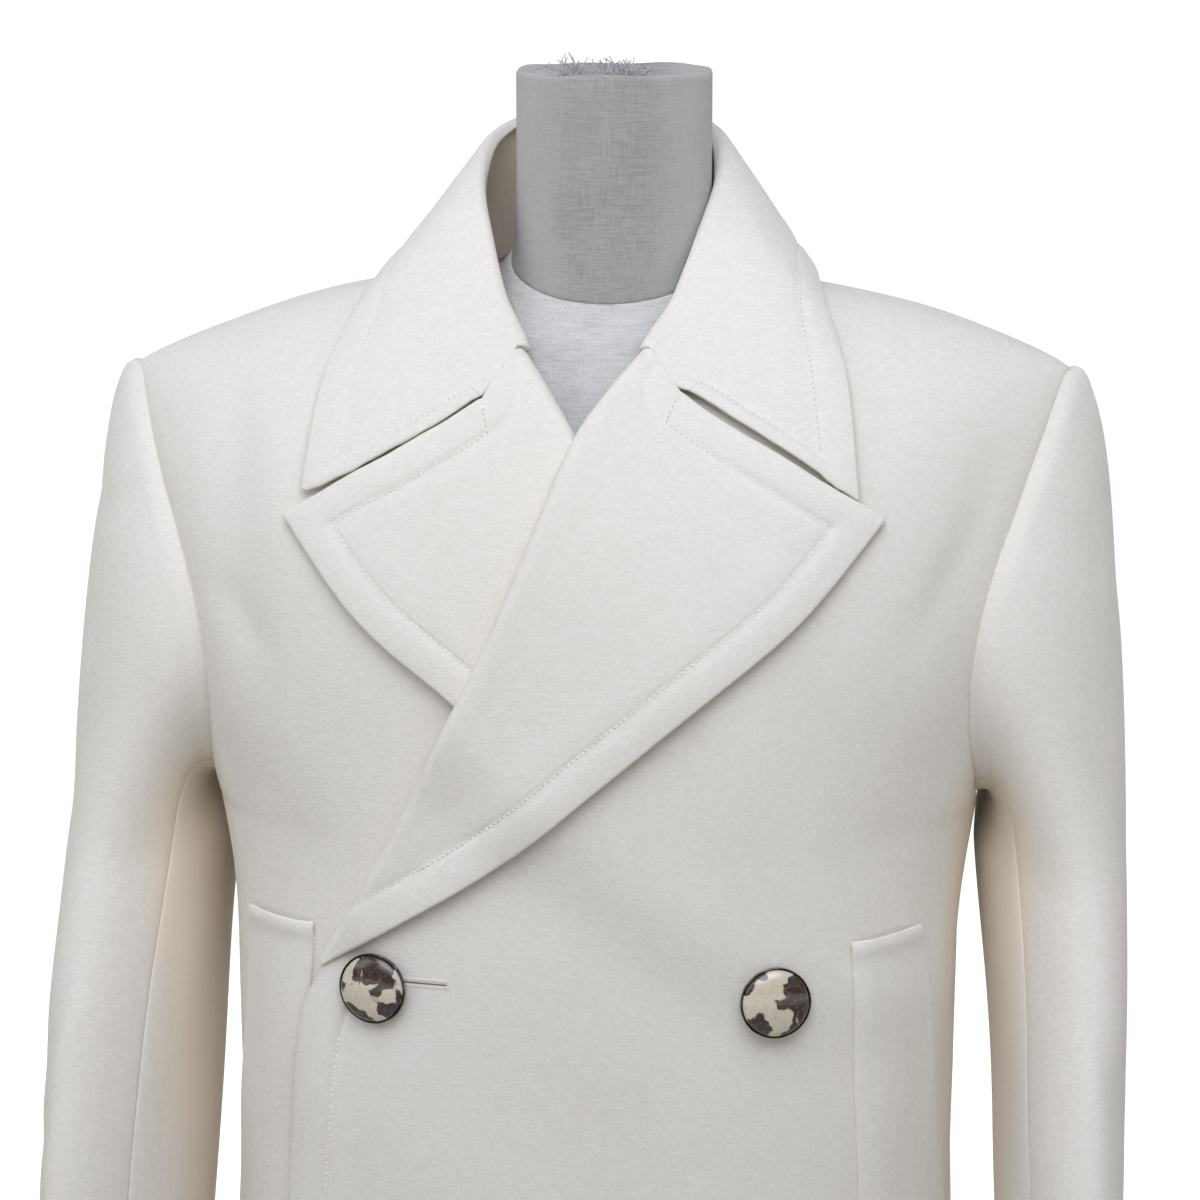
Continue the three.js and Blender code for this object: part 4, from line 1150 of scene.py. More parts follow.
def fallSpot(place, share):
    place, share = np.broadcast_arrays(np.asarray(place, float), np.asarray(share, float))
    isRight = place > centreBack
    station = toStation(place)
    out = np.full(station.shape, coat["collarGap"] + coat["lapelWall"])
    x, level = collarSpot(station, share)
    lift = rollPoint(station) - collarGround(*collarSpot(station, np.zeros_like(share)), out)
    near = 1 - smoothstep(station, collar["end"], 1.4 + 2.4 * share)
    shiftX = np.where(isRight, frontShift("right", share)[0], frontShift("left", share)[0])
    shiftLevel = np.where(isRight, frontShift("right", share)[1], frontShift("left", share)[1])
    ground = collarGround(x + near * shiftX, level + near * shiftLevel, out)
    drop = collar["drop"] - 0.22 * np.exp(-((station - 5) / 2.2) ** 2)
    point = ground + lift * (1 - share ** drop)[..., None]
    point[..., 0] = np.where(isRight, -point[..., 0], point[..., 0])
    return point


def fallNormal(place, share):
    ahead = fallPoint(place + 0.01, share) - fallPoint(place - 0.01, share)
    over = fallPoint(place, np.minimum(1, share + 0.01)) - fallPoint(place, np.maximum(0, share - 0.01))
    return unit(np.cross(over, ahead))


def standPoint(place, share):
    place, share = np.broadcast_arrays(np.asarray(place, float), np.asarray(share, float))
    station = toStation(place)
    out = np.full_like(share, collar["standFootGap"])
    foot = collarGround(*collarSpot(station, np.full_like(share, 0.03)), out)
    ahead = fallPoint(station + 0.05, 0 * share) - fallPoint(station - 0.05, 0 * share)
    over = fallPoint(station, 0 * share + 0.04) - fallPoint(station, 0 * share)
    down = unit(np.cross(ahead, over))
    top = rollPoint(station) + down * (coat["lapelWall"] + collar["standTopGap"])
    spot = foot + (top - foot) * share[..., None]
    spot[..., 0] = np.where(place > centreBack, -spot[..., 0], spot[..., 0])
    return spot


# Places whose gaps along the collar's face are even, and close together at both fronts.
def collarPlaces(share, endSteps, count):
    tries = np.linspace(collar["end"], 2 * centreBack - collar["end"], 1500)
    run = runAlong(fallPoint(tries, np.full_like(tries, share)))
    return np.interp(spaced(run[-1], endSteps, endSteps, count), run, tries)


def makeCollar():
    frontSteps = np.array([0, 0.9, 2, 3.6, 5, 6.3, 7, 7.5, 8, 8.8, 10.5, 13, 17], float)
    outerSteps = np.array([0, 1.2, 2.8, 5, 8, 11, 13.5, 15.4, 16.4, 17, 17.6, 18.6, 20.5, 24, 29], float)
    places = collarPlaces(0.6, frontSteps, 150)
    tries = np.linspace(0, 1, 300)
    rows = []
    for place in places:
        run = runAlong(fallPoint(np.full_like(tries, place), tries))
        station = toStation(place)
        lean = 0.35 + 0.5 * math.exp(-(station / 0.8) ** 2)
        skip = lean * (collar["rollRadius"] + collar["frontSwell"] * math.exp(-station / 0.7))
        wanted = skip + spaced(run[-1] - skip, np.array([0, 2.5, 6, 10.5, 15.0]), outerSteps, 16)
        rows.append(np.interp(wanted, run, tries))
    shares = np.array(rows)
    placeGrid = np.broadcast_to(places[:, None], shares.shape)
    fall = fallPoint(placeGrid, shares)
    top = fall[:, 0]
    normal = fallNormal(places, shares[:, 0])
    ahead = unit(np.gradient(top, axis=0))
    normal = squareTo(normal, ahead)
    away = np.cross(ahead, normal)
    away = away * -np.sign(np.sum(away * (fall[:, 2] - top), axis=1, keepdims=True))
    radius = collar["rollRadius"] + collar["frontSwell"] * np.exp(-toStation(places)[:, None] / 0.7)
    centre = top - normal * radius
    low = centre + radius * away
    wrap = [low - normal * step for step in (3.2, 1.6)]
    for turn in np.linspace(math.pi / 2, 0.16, 10):
        wrap.append(centre + radius * (normal * math.cos(turn) + away * math.sin(turn)))
    grid = np.concatenate([np.stack(wrap, axis=1), fall], axis=1)
    notchSpot = len(wrap) + int(np.searchsorted(shares[0], collar["notchShare"]))
    edges = [{"line": grid[:, -1], "inset": collar["outerInset"], "puff": 0.9, "groove": 0.7}]
    for row in (0, -1):
        line = grid[row, notchSpot:]
        edges.append({"line": line, "inset": collar["frontInset"], "puff": 0.7, "groove": 0.6})
    for row in (0, -1):
        edges.append({"line": grid[row, :notchSpot + 1], "sink": 0.35, "reach": 2.5})
    lift, gaps = relief(grid, edges)
    grid = pushed(grid, lift + ripple(grid), False)
    piece = clothShell("collarFall", grid, coat["lapelWall"], seam=0.4, pulls=(1, 1, 0.6, 0.6))
    lines = [stitchLine(grid, gaps, edges, 0, 1, True)]
    for edge, notch in ((1, grid[0, notchSpot]), (2, grid[-1, notchSpot])):
        line = stitchLine(grid, gaps, edges, edge, 0, edge == 2)
        lines.append(turnedIn(grid, False, line, notch, collar["frontInset"]))
    standPlaces = np.linspace(collar["standStart"], 2 * centreBack - collar["standStart"], 120)
    endSteps = np.array([0, 0.03, 0.08, 0.15])
    shares = spaced(1, endSteps, endSteps, 8)
    stand = standPoint(standPlaces[:, None], shares[None, :])
    stand = pushed(stand, np.full(stand.shape[:2], coat["wall"]), False)
    standPiece = clothShell("collarStand", stand, coat["wall"], rimSteps=6)
    # painted shade: the stand inside the neck gets the warm, shaded copy of the wool
    standPiece.data.materials[0] = paintedShadeWoolPaint
    return piece, standPiece, lines


# back

back = {
    "neckCurve": 2.6, "middle": 60,
    "folds": table("start end width depth",
        ((-96, 1340), (-84, 1200), 24, -1.8), ((90, 1330), (102, 1190), 20, -1.4),
        ((-120, 1120), (-40, 1075), 22, -1.8), ((118, 1100), (50, 1062), 18, -1.5),
        ((-4, 1050), (6, 320), 30, -4.2), ((-92, 930), (-108, 320), 36, 4.6),
        ((80, 960), (104, 320), 42, 4.0), ((-160, 900), (-182, 320), 26, -3.8),
        ((150, 860), (178, 320), 30, -4.4),
    ),
}


def backNeck(x):
    inside = np.minimum(1, np.abs(x) / coat["neckPointX"])
    return coat["backNeckLevel"] + (1 - coat["backNeckLevel"]) * inside ** back["neckCurve"]


def makeBack():
    low = np.concatenate([coat["hemZ"] + np.array([0, 1.5, 4, 8]), np.linspace(314, 1130, 84)])
    levels = np.concatenate([low - coat["underarmZ"], np.linspace(0, 0.97, 50), [0.98, 0.988, 0.995, 1]])
    side = armholeAngle(levels, True) + coat["seamTrim"]
    shares = np.zeros((len(levels), 2 * len(seamSteps) + back["middle"] - 1))
    for index, (level, start) in enumerate(zip(levels, side)):
        tries = np.linspace(start, fullTurn - start, 400)
        run = runAlong(bodyPoint(tries, level))
        angles = np.interp(spaced(run[-1], seamSteps, seamSteps, back["middle"]), run, tries)
        shares[index] = (angles - math.pi) / (math.pi - start)
    turn = (math.pi - side)[:, None] * shares
    levelGrid = np.broadcast_to(levels[:, None], shares.shape)
    high = np.ones_like(shares)
    for _ in range(4):
        reached = skin(math.pi + turn, np.where(levelGrid > 0, high, levelGrid), np.zeros_like(shares))
        high = backNeck(reached[..., 0])
    climb = np.where(levelGrid > 0, levelGrid * high, levelGrid)
    grid = skin(math.pi + turn, climb, np.zeros_like(shares))
    grid[-1, :, 1] += coat["shoulderGap"]
    under = np.nonzero(levels <= 0)[0]
    edges = [{"line": grid[under, column], "sink": 0.9} for column in (0, -1)]
    edges += [{"line": grid[under[-1]:, column], "sink": 1.3, "reach": 5} for column in (0, -1)]
    edges.append({"line": grid[-1], "sink": 0.6})
    lift, gaps = relief(grid, edges)
    folds = creases(grid[..., 0], grid[..., 2], back["folds"])
    folds = folds * smoothstep(np.minimum(gaps[0], gaps[1]), *coat["foldFade"])
    grid = pushed(grid, lift + folds + ripple(grid), False)
    return clothShell("backPanel", grid, coat["wall"], seam=0.35, pulls=(0.5, 0.5, 1, 0.5))


# sleeves

sleeveSections = table("z x y halfWidth halfDepth turn",
    (765, 235, -99, 25, 64, -20), (850, 234, -88, 25, 69, -20), (935, 231.5, -72, 25.5, 74, -20),
    (1035, 229, -43, 27.5, 75, -19), (1110, 226, -14, 32, 75, -16),
)
sleeve = {
    "underZ": 1110, "cuffZ": 765, "seamTrim": 0.008, "frontLevel": 0.06, "backLevel": 0.29,
    "leftTurn": 7, "leftTurnFrom": 1112, "leftTurnReach": 130, "leftShift": 1.3,
    "underTurns": (115, 165), "capRidge": 0.9, "capRidgeFrom": 1180,
    "foldsRight": table("start end width depth",
        ((66, 1300), (40, 1280), 9, -1.6), ((30, 1305), (8, 1270), 12, -1.3),
        ((76, 1200), (46, 1130), 13, -1.6), ((96, 1075), (58, 1010), 12, -2.0),
        ((100, 1020), (52, 975), 10, -1.4), ((-20, 1120), (30, 1010), 15, -1.7),
        ((-70, 1070), (-16, 990), 15, -2.2), ((40, 940), (30, 800), 16, 1.4),
    ),
    "foldsLeft": table("start end width depth",
        ((70, 1296), (44, 1262), 11, -1.7), ((26, 1300), (14, 1240), 13, -1.2),
        ((82, 1180), (44, 1122), 12, -1.4), ((98, 1064), (50, 1000), 12, -1.8),
        ((-30, 1110), (26, 1030), 15, -1.6), ((-74, 1060), (-20, 1000), 14, -2.0),
        ((50, 930), (36, 790), 15, 1.3),
    ),
}


def armholeSpot(turn):
    level = (1 + np.cos(turn)) / 2
    isBack = np.sin(turn) < 0
    angle = np.where(isBack, armholeAngle(level, True), armholeAngle(level, False))
    return bodyPoint(angle, level), bodyNormal(angle, level)


def sleeveRing(turn, z):
    yaw = along(sleeveSections, "z", z, "turn") * degree
    lateral = along(sleeveSections, "z", z, "halfWidth") * np.cos(turn)
    forward = along(sleeveSections, "z", z, "halfDepth") * np.sin(turn)
    x = along(sleeveSections, "z", z, "x") + lateral * np.cos(yaw) - forward * np.sin(yaw)
    y = along(sleeveSections, "z", z, "y") - lateral * np.sin(yaw) - forward * np.cos(yaw)
    return xyz(x, y, z)


# At the armhole: a spot, its normal, the way off the panel, and 1 where the sleeve runs under the arm.
def armholeFrame(turn):
    spot, normal = armholeSpot(turn)
    seam = armholeSpot(turn + 0.01)[0] - armholeSpot(turn - 0.01)[0]
    off = unit(np.cross(normal, seam))
    low, high = sleeve["underTurns"]
    under = smoothstep(np.abs(turn), low * degree, high * degree)[..., None]
    return spot, normal, off, under


def sleeveStart(turn):
    spot, normal, off, under = armholeFrame(turn)
    return spot + off * coat["sleeveGap"] - normal * coat["wall"] * under


# Turns over half a circle count back from the other side.
def wrapped(turn):
    return np.where(turn > math.pi, turn - fullTurn, turn)


# Row 0 is the armhole, row 1 the underarm's height and row 2 the cuff.


def sleevePoint(turn, row):
    turn, row = np.broadcast_arrays(turn, row)
    cap = np.minimum(row, 1)
    high, ahead = np.cos(turn), np.sin(turn)
    reach = sleeve["underZ"] + (np.maximum(row, 1) - 1) * (sleeve["cuffZ"] - sleeve["underZ"])
    drop = np.where(high > 0, -25 * high, -30 * high)
    startPull = xyz(60 + 15 * high, -35 * ahead, drop)
    under = np.full(turn.shape, float(sleeve["underZ"]))
    end = sleeveRing(turn, under)
    endPull = (sleeveRing(turn, under - 5) - end) * ((145 + 105 * high) / 5)[..., None]
    square, cube = (cap ** 2)[..., None], (cap ** 3)[..., None]
    part = cap[..., None]
    start = sleeveStart(wrapped(turn))
    arc = start * (2 * cube - 3 * square + 1) + startPull * (cube - 2 * square + part)
    arc = arc + end * (3 * square - 2 * cube) + endPull * (cube - square)
    return np.where((row >= 1)[..., None], sleeveRing(turn, reach), arc)


# Rows that slip under the panels' edge, so that the armhole seam is closed.
def sleeveTuck(turns):
    normal, off, under = armholeFrame(wrapped(turns))[1:]
    start = sleeveStart(wrapped(turns))
    rows = []
    for behind, depth in ((4.6, 4.4), (2.2, 3.6), (0.7, 1.9)):
        above = -off * behind - normal * depth
        rows.append(start + above * (1 - under) - normal * depth * 0.35 * under)
    return np.stack(rows)


# The left sleeve hangs a little turned, so it looks narrower from the front.
def turnedSleeve(grid):
    z = grid[..., 2]
    share = smoothstep(sleeve["leftTurnFrom"] - z, 0, sleeve["leftTurnReach"])
    angle = -sleeve["leftTurn"] * degree * share
    middleX = along(sleeveSections, "z", z, "x")
    middleY = along(sleeveSections, "z", z, "y")
    across, ahead = grid[..., 0] - middleX, grid[..., 1] - middleY
    x = middleX + across * np.cos(angle) - ahead * np.sin(angle) + sleeve["leftShift"] * share
    y = middleY + across * np.sin(angle) + ahead * np.cos(angle)
    return xyz(x, y, z)


def turnAt(level):
    return math.acos(2 * level - 1)


def makeSleevePart(name, side, first, last, count):
    isLeft = side == "left"
    cap = np.concatenate([[0, 0.012, 0.03, 0.06, 0.1], np.linspace(0.1, 1, 34)[1:]])
    long = sleeve["underZ"] - sleeve["cuffZ"]
    arm = 1 + (sleeve["underZ"] - np.linspace(sleeve["underZ"], sleeve["cuffZ"] + 8, 66)[1:]) / long
    rows = np.concatenate([cap, arm, [1 + (long - 4) / long, 1 + (long - 1.4) / long, 2]])
    near = np.array([0, 0.02, 0.05, 0.09, 0.15])
    middle = np.linspace(first + near[-1], last - near[-1], count)[1:-1]
    turns = np.concatenate([first + near, middle, last - near[::-1]])
    grid = sleevePoint(turns[None, :], rows[:, None])
    grid = np.concatenate([sleeveTuck(turns), grid])
    rows = np.concatenate([[-0.03, -0.02, -0.01], rows])
    grid = turnedSleeve(grid) if isLeft else mirror(grid)
    lift, _ = relief(grid, [{"line": grid[3:, column], "sink": 0.7, "reach": 3.5} for column in (0, -1)])
    degrees = wrapped(turns) / degree
    folds = creases(degrees[None, :], grid[..., 2], sleeve["foldsLeft" if isLeft else "foldsRight"])
    capRidge = sleeve["capRidge"] * np.exp(-((rows[:, None] - 0.07) / 0.05) ** 2)
    capRidge = capRidge * (grid[..., 2] > sleeve["capRidgeFrom"])
    grid = pushed(grid, lift + folds + capRidge + ripple(grid), not isLeft)
    name, pulls = f"{name}_{side}", (0.45, 0.45, 0, 1)
    return clothShell(name, grid, coat["wall"], not isLeft, seam=0.3, pulls=pulls)


# pocket welts


def makeWelt(side):
    isLeft = side == "left"
    topSteps, footSteps = np.array([0, 1.2, 3, 5.5, 8, 11, 15]), np.array([0, 1.5, 4, 8])
    zs = pocket["topZ"] - spaced(pocket["topZ"] - pocket["footZ"], topSteps, footSteps, 44)
    wide = pocket["weltWidth"]
    sewnSteps, freeSteps = np.array([0, 0.8, 2, 4, 6.5, 9]), np.array([0, 1, 2.4, 4.5, 7, 9])
    shares = spaced(wide, sewnSteps, freeSteps, 8) / wide
    rows = []
    for z in zs[::-1]:
        drop = pocket["topZ"] - z
        inner = pocket["innerX"] + drop * pocket["innerLean"]
        outer = pocket["outerX"] + drop * pocket["outerLean"]
        level = levelAt(np.array(inner), z)
        start, end = angleAt(np.array([inner, outer], float), level)
        angles = start + (end - start) * shares
        base = bodyPoint(angles, level)
        ground = overlap(base[..., 0], base[..., 2]) if isLeft else np.zeros(len(angles))
        out = ground + coat["layerGap"] + coat["wall"]
        rows.append(skin(angles, np.full(len(angles), float(level)), out))
    grid = np.array(rows)
    if not isLeft:
        grid = mirror(grid)
    width = np.linalg.norm(grid - grid[:, :1], axis=2)
    fromTop = np.linalg.norm(grid - grid[-1:], axis=2)
    sewn = -pocket["sewnDepth"] * np.exp(-(width / 4.2) ** 1.5)
    rolled = pocket["topRoll"] * np.exp(-((fromTop - 4) / 4.5) ** 2)
    rolled = rolled + pocket["bulge"] * np.sin(math.pi * np.clip(width / 40, 0, 1))
    folds = fronts["foldsLeft" if isLeft else "foldsRight"]
    lift = sewn + rolled + creases(grid[..., 0], grid[..., 2], folds) + ripple(grid)
    grid = pushed(grid, lift, not isLeft)
    return clothShell(f"pocketWelt_{side}", grid, coat["wall"], not isLeft, seam=0.2)


# turned pieces


# Faces of a solid of rings, whose last two points close its foot and head.
def ringFaces(rings, sides):
    faces = []
    for ring in range(rings - 1):
        for side in range(sides):
            a, b = ring * sides + side, ring * sides + (side + 1) % sides
            faces.append((a, b, b + sides, a + sides))
    foot, head, last = rings * sides, rings * sides + 1, (rings - 1) * sides
    for side in range(sides):
        following = (side + 1) % sides
        faces.append((following, side, foot))
        faces.append((last + side, last + following, head))
    return faces


# A closed solid turned round Z; a profile starts and ends on the axis.
def lathe(name, profile, paint, segments, place=None, turn=None):
    inner = profile[1:-1]
    angles = np.arange(segments) / segments * 2 * math.pi
    points = [(radius * math.cos(a), radius * math.sin(a), z) for radius, z in inner for a in angles]
    points = np.array(points + [(0, 0, profile[0][1]), (0, 0, profile[-1][1])])
    if turn is not None:
        points = points @ np.array(turn.to_matrix()).T + place
    return linkMesh(name, points, ringFaces(len(inner), segments), paint)


# The profile with its corners turned into small arcs.
def rounded(profile, radius, steps=4):
    out = [profile[0]]
    for before, corner, after in zip(profile, profile[1:], profile[2:]):
        before, corner, after = (np.array(spot, float) for spot in (before, corner, after))
        first, second = before - corner, after - corner
        cut = min(radius, 0.45 * np.linalg.norm(first), 0.45 * np.linalg.norm(second))
        start = corner + first / np.linalg.norm(first) * cut
        end = corner + second / np.linalg.norm(second) * cut
        for step in range(steps + 1):
            part = step / steps
            spot = start * (1 - part) ** 2 + 2 * corner * part * (1 - part) + end * part ** 2
            out.append((max(float(spot[0]), 0.01), float(spot[1])))
    out.append(profile[-1])
    return out


buttons = table("name x z shank shift",
    ("button_left_1", 93, 1074, -0.25, (0.31, 0.02, 0.07)),
    ("button_right_1", -93, 1074, 0.15, (0.11, 0.44, 0.2)),
    ("button_left_2", 93, 910, 0.35, (0.72, 0.13, 0.5)),
    ("button_right_2", -93, 910, 0.25, (0.05, 0.91, 0.63)),
)


def makeButton(button):
    x, z, shank = np.array(float(button["x"])), float(button["z"]), button["shank"]
    level = levelAt(x, z)
    normal = bodyNormal(angleAt(x, level), level)
    place = frontSkin(x, z, 0.0) + normal * float(overlap(x, z))
    turn = Vector((0, 0, 1)).rotation_difference(Vector(normal))
    shell = [
        (0, shank), (4, shank), (4, shank + 2), (14, shank + 2), (17, shank + 3.8), (17, shank + 5.2),
        (16.6, shank + 5.6), (16.3, shank + 4.6), (0, shank + 4.6),
    ]
    dome = [(0, shank + 4.9), (16, shank + 4.9)]
    dome += [(16 * math.cos(a), shank + 4.9 + 5 * math.sin(a) ** 0.9) for a in np.linspace(0.12, 1.5, 22)]
    dome += [(0, shank + 9.9)]
    name = button["name"]
    shellPiece = lathe(f"{name}Shell", rounded(shell, 0.5), gunmetalPaint, 96, place, turn)
    domePiece = lathe(f"{name}Dome", dome, makeHorn(f"horn_{name}", button["shift"]), 96, place, turn)
    register(shellPiece, [f"{name}_shell"])
    register(domePiece, [f"{name}_dome"])


buttonhole = {"startX": -82, "endX": -58.5, "z": 1078, "lip": 1.55, "lipSize": 1.35, "bar": 2.2}


# Close stitches round a slit, beside the fastened button.
def makeButtonhole(cloth):
    hole = buttonhole

    def row(startX, startZ, endX, endZ, sink):
        steps = np.linspace(0, 1, 30)
        x = startX + (endX - startX) * steps
        z = startZ + (endZ - startZ) * steps
        y = frontSkin(x, z, overlap(x, z))[:, 1]
        return settled(laidOn(cloth, False, xyz(x, y, z), -sink))

    startX, endX, z, bar = hole["startX"], hole["endX"], hole["z"], hole["bar"]
    lips = [row(startX, z + lip, endX, z + lip, 0.8) for lip in (hole["lip"], -hole["lip"])]
    register(sewRow("buttonholeLips", lips, holePaint, 0.55, 0.5, hole["lipSize"], 5), [])
    bars = [row(endX + out, z + up, endX + out, z - up, 0.5) for out, up in ((0.3, bar), (1.3, -bar))]
    register(sewRow("buttonholeBar", bars, holePaint, 0.55, 0.5, 0.8, 6), [])
    # painted shade: a dark row down the slit stands for the shadow inside the cut
    slit = [row(startX, z, endX - 1.5, z, -0.12)]
    register(sewRow("buttonholeSlitShade", slit, slitShadePaint, 0.9, 1.8, 0.32, 7), [])


# dress form and stand

form = {
    "neckX": 7, "neckTop": 1500, "footZ": 835, "seamTilt": 0.287, "seamZ": 1408.5,
    "tufts": table("x y high count seed",
        (-13, -8, 11, 16, 21), (-21, -6, 7, 9, 22), (5, 2, 9, 14, 23), (14, -3, 8, 16, 24),
        (22, -8, 6, 9, 25),
    ),
}
formRings = table("shift side front back sideZ frontZ backZ round",
    (7, 51, 59, 55, 1408.5, 1391.6, 1424.3, 1), (5, 64, 70, 58, 1394.8, 1372, 1396, 1.5),
    (2, 92, 82, 74, 1393.6, 1345, 1366, 2), (0, 132, 97, 92, 1386.7, 1305, 1325, 2),
    (0, 166, 112, 102, 1374.5, 1255, 1275, 2), (0, 176, 119, 108, 1335, 1215, 1230, 2),
    (0, 166, 121, 108, 1240, 1165, 1180, 2), (0, 152, 112, 102, 1140, 1110, 1115, 2),
    (0, 132, 100, 92, 1045, 1040, 1040, 2), (0, 140, 108, 100, 965, 965, 965, 2),
    (0, 158, 114, 112, 885, 885, 885, 2), (0, 160, 112, 114, 835, 835, 835, 2),
)
for index, ring in enumerate(formRings):
    ring["at"] = index
neckRings = table("at up side depth y",
    (0, 0, 50, 56, -2), (1, 0.12, 48.5, 55, -1.5), (2, 0.4, 47.5, 53.5, 0), (3, 0.75, 47.5, 52.5, 0),
    (4, 0.955, 47.5, 52, 0),
)


# A closed solid through rings of equal length, the first ring at the foot.
def loft(name, rings, paint):
    points = np.concatenate([*rings, [rings[0].mean(axis=0)], [rings[-1].mean(axis=0)]])
    return linkMesh(name, points, ringFaces(len(rings), len(rings[0])), paint)


turns = np.arange(144) / 144 * 2 * math.pi
ahead, aside = np.cos(turns), np.sin(turns)


def makeTorso():
    rings = []
    for at in np.concatenate([np.linspace(11, 1, 80), np.linspace(1, 0, 14)[1:]]):
        value = {key: float(along(formRings, "at", at, key)) for key in formRings[0] if key != "at"}
        depth = np.where(ahead > 0, value["front"], value["back"])
        endZ = np.where(ahead > 0, value["frontZ"], value["backZ"])
        z = value["sideZ"] + (endZ - value["sideZ"]) * np.abs(ahead) ** value["round"]
        rings.append(xyz(value["shift"] + value["side"] * aside, -depth * ahead, z))
    lip = rings[-1].copy()
    centre = lip.mean(axis=0)
    for inset, drop in ((0.985, 0.25), (0.965, 0.3), (0.9, 0.3)):
        ring = centre + (lip - centre) * inset
        ring[:, 2] = lip[:, 2] - drop
        rings.append(ring)
    return loft("formTorso", rings, litTorsoLinenPaint)


def makeNeck():
    rings = []
    rows = np.concatenate([[0, 0.02, 0.06], np.linspace(0.12, 4, 44)])
    for index, at in enumerate(rows):
        value = {key: float(along(neckRings, "at", at, key)) for key in ("up", "side", "depth", "y")}
        tuck = -0.25 * math.exp(-index * 0.9)
        x = form["neckX"] + (value["side"] + tuck) * aside
        y = value["y"] - (value["depth"] + tuck) * ahead
        seamZ = form["seamZ"] + form["seamTilt"] * y + 0.8
        z = seamZ + (form["neckTop"] - seamZ) * value["up"] - (2.2 if index == 0 else 0)
        rings.append(xyz(x, y, z))
    waver = np.sin(turns * 3 + 1) + 0.6 * np.sin(turns * 7 + 2)
    gather = np.sin(turns * 26 + 1.5 * np.sin(turns * 5)) + 0.5 * np.sin(turns * 41)
    for part in np.linspace(0.06, 1, 26):
        bend = part * math.pi / 2
        shrink = 1 - 0.05 * (1 - math.cos(min(bend * 3, math.pi / 2))) - 0.8 * max(0, part - 0.25) ** 1.15
        rise = 2.6 * math.sin(min(bend * 3, math.pi / 2)) - 4.5 * smoothstep(part, 0.2, 0.6)
        pleat = 0.8 * gather * smoothstep(part, 0.25, 0.6)
        x = form["neckX"] + neckRings[-1]["side"] * shrink * aside
        y = -neckRings[-1]["depth"] * shrink * ahead
        z = form["neckTop"] - 4 + rise + pleat + 0.5 * waver
        rings.append(xyz(x, y, z))
    return loft("formNeck", rings, shadedNeckLinenPaint)


def makeFray():
    tufts = []
    for tuft in form["tufts"]:
        chance = np.random.default_rng(tuft["seed"])
        for _ in range(tuft["count"]):
            out = chance.normal(size=3) * (1.5, 1.5, 0.4)
            start = np.array([tuft["x"], tuft["y"], form["neckTop"] - 4.5])
            start = start + chance.normal(size=3) * (3.4, 3.4, 0.3)
            bends = np.linspace(0, 1, 12)[:, None]
            curl = chance.normal(size=3) * (1.6, 1.6, 0.6)
            top = np.array([0, 0, tuft["high"] * chance.uniform(0.45, 1)])
            tufts.append(start + bends * (out + top) + np.sin(bends * math.pi * 1.3) * curl)
    return sewRow("formNeckFray", tufts, frayPaint, 0.4, 0.8, 0.26, 8)


# Lit and shaded copies of one linen: the neck is painted darker as painted shade and the upward-facing
# torso lighter as painted light.
shadedNeckLinenPaint = makeLinen("shadedNeckLinen", 0.78, 0.55)
litTorsoLinenPaint = makeLinen("litTorsoLinen", 1.27, 0)


def makeForm():
    torso, neck = makeTorso(), makeNeck()
    register(makeFray(), [])
    register(torso, ["form_torso"])
    register(neck, ["form_neck"])


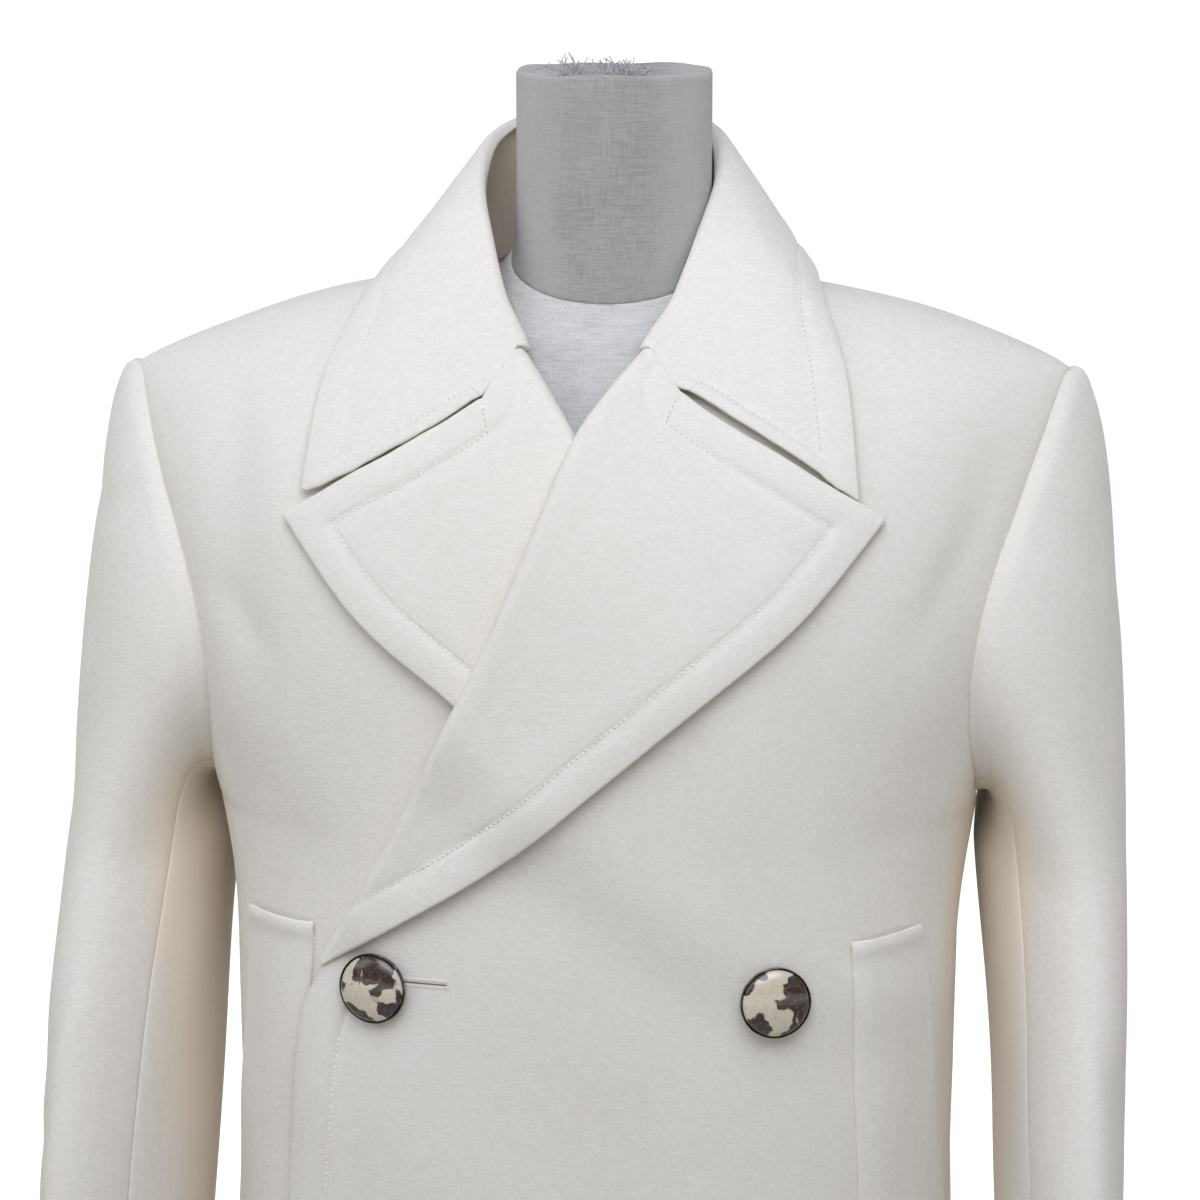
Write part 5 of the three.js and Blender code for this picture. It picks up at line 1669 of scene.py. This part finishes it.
def makeStand():
    foot, gap = form["footZ"], 0.3
    plate, collarFoot, hubTop = foot - 14, foot - 54, 40
    top, collarTop, poleFoot, poleTop = foot - gap, plate - gap, hubTop + gap, collarFoot - gap
    underplate = [(0, plate), (104, plate), (106, plate + 2), (106, top), (0, top)]
    collarRings = [(0, collarFoot), (19, collarFoot), (19, plate - 6), (30, plate - 4)]
    collarRings += [(30, collarTop), (0, collarTop)]
    pole = [(0, poleFoot), (11, poleFoot), (11, poleTop), (0, poleTop)]
    base = [(0, 0), (168, 0), (170, 2), (170, 11), (167, 14), (26, 16), (18, 24)]
    base += [(16, hubTop), (0, hubTop)]
    parts = [
        ("formUnderplate", "form_underplate", timberPaint, "timber", underplate),
        ("standCollar", "stand_collar", steelPaint, "steel", collarRings),
        ("standPole", "stand_pole", steelPaint, "steel", pole),
        ("standBase", "stand_base", steelPaint, "steel", base),
    ]
    for name, node, paint, slotName, profile in parts:
        register(lathe(name, rounded(profile, 0.8), paint, 128), [node])


floorReach = 600  # metres


def makeFloor():
    mesh = bpy.data.meshes.new("floor")
    spots = [(x * floorReach, y * floorReach, 0) for x, y in ((-1, -1), (1, -1), (1, 1), (-1, 1))]
    mesh.from_pydata(spots, [], [(0, 1, 2, 3)])
    mesh.materials.append(makeFloorPaint())
    floor = bpy.data.objects.new("floor", mesh)
    bpy.context.scene.collection.objects.link(floor)


# putting it together

makeFloor()
makeForm()
makeStand()
print("form and stand made")
for name in ("left", "right"):
    panel, line, cloth = makeFront(name)
    register(panel, [f"front_{name}"], (0.47, 1.12))
    sew(f"frontStitches_{name}", [line], 1)
    if name == "left":
        makeButtonhole(cloth)
    fold, lines = makeLapel(name)
    register(fold, [f"lapel_{name}"], (0.17, 0.34))
    sew(f"lapelStitches_{name}", lines, 2)
    welt = makeWelt(name)
    register(welt, [f"pocket_welt_{name}"], (0.058, 0.18))
print("fronts made")
fall, stand, lines = makeCollar()
register(fall, ["collar_fall"], (0.55, 0.13))
register(stand, ["collar_stand"], (0.36, 0.055))
sew("collarStitches", lines, 3)
register(makeBack(), ["back"], (0.66, 1.13))
trim = sleeve["seamTrim"]
topFirst, topLast = -turnAt(sleeve["backLevel"]) + trim, turnAt(sleeve["frontLevel"]) - trim
underFirst, underLast = topLast + 2 * trim, topFirst + 2 * math.pi - 2 * trim
for name in ("left", "right"):
    top = makeSleevePart("sleeveTop", name, topFirst, topLast, 56)
    register(top, [f"sleeve_top_{name}"], (0.26, 0.64))
    under = makeSleevePart("sleeveUnder", name, underFirst, underLast, 30)
    register(under, [f"sleeve_under_{name}"], (0.12, 0.48))
print("back and sleeves made")
for button in buttons:
    makeButton(button)
print("buttons made")
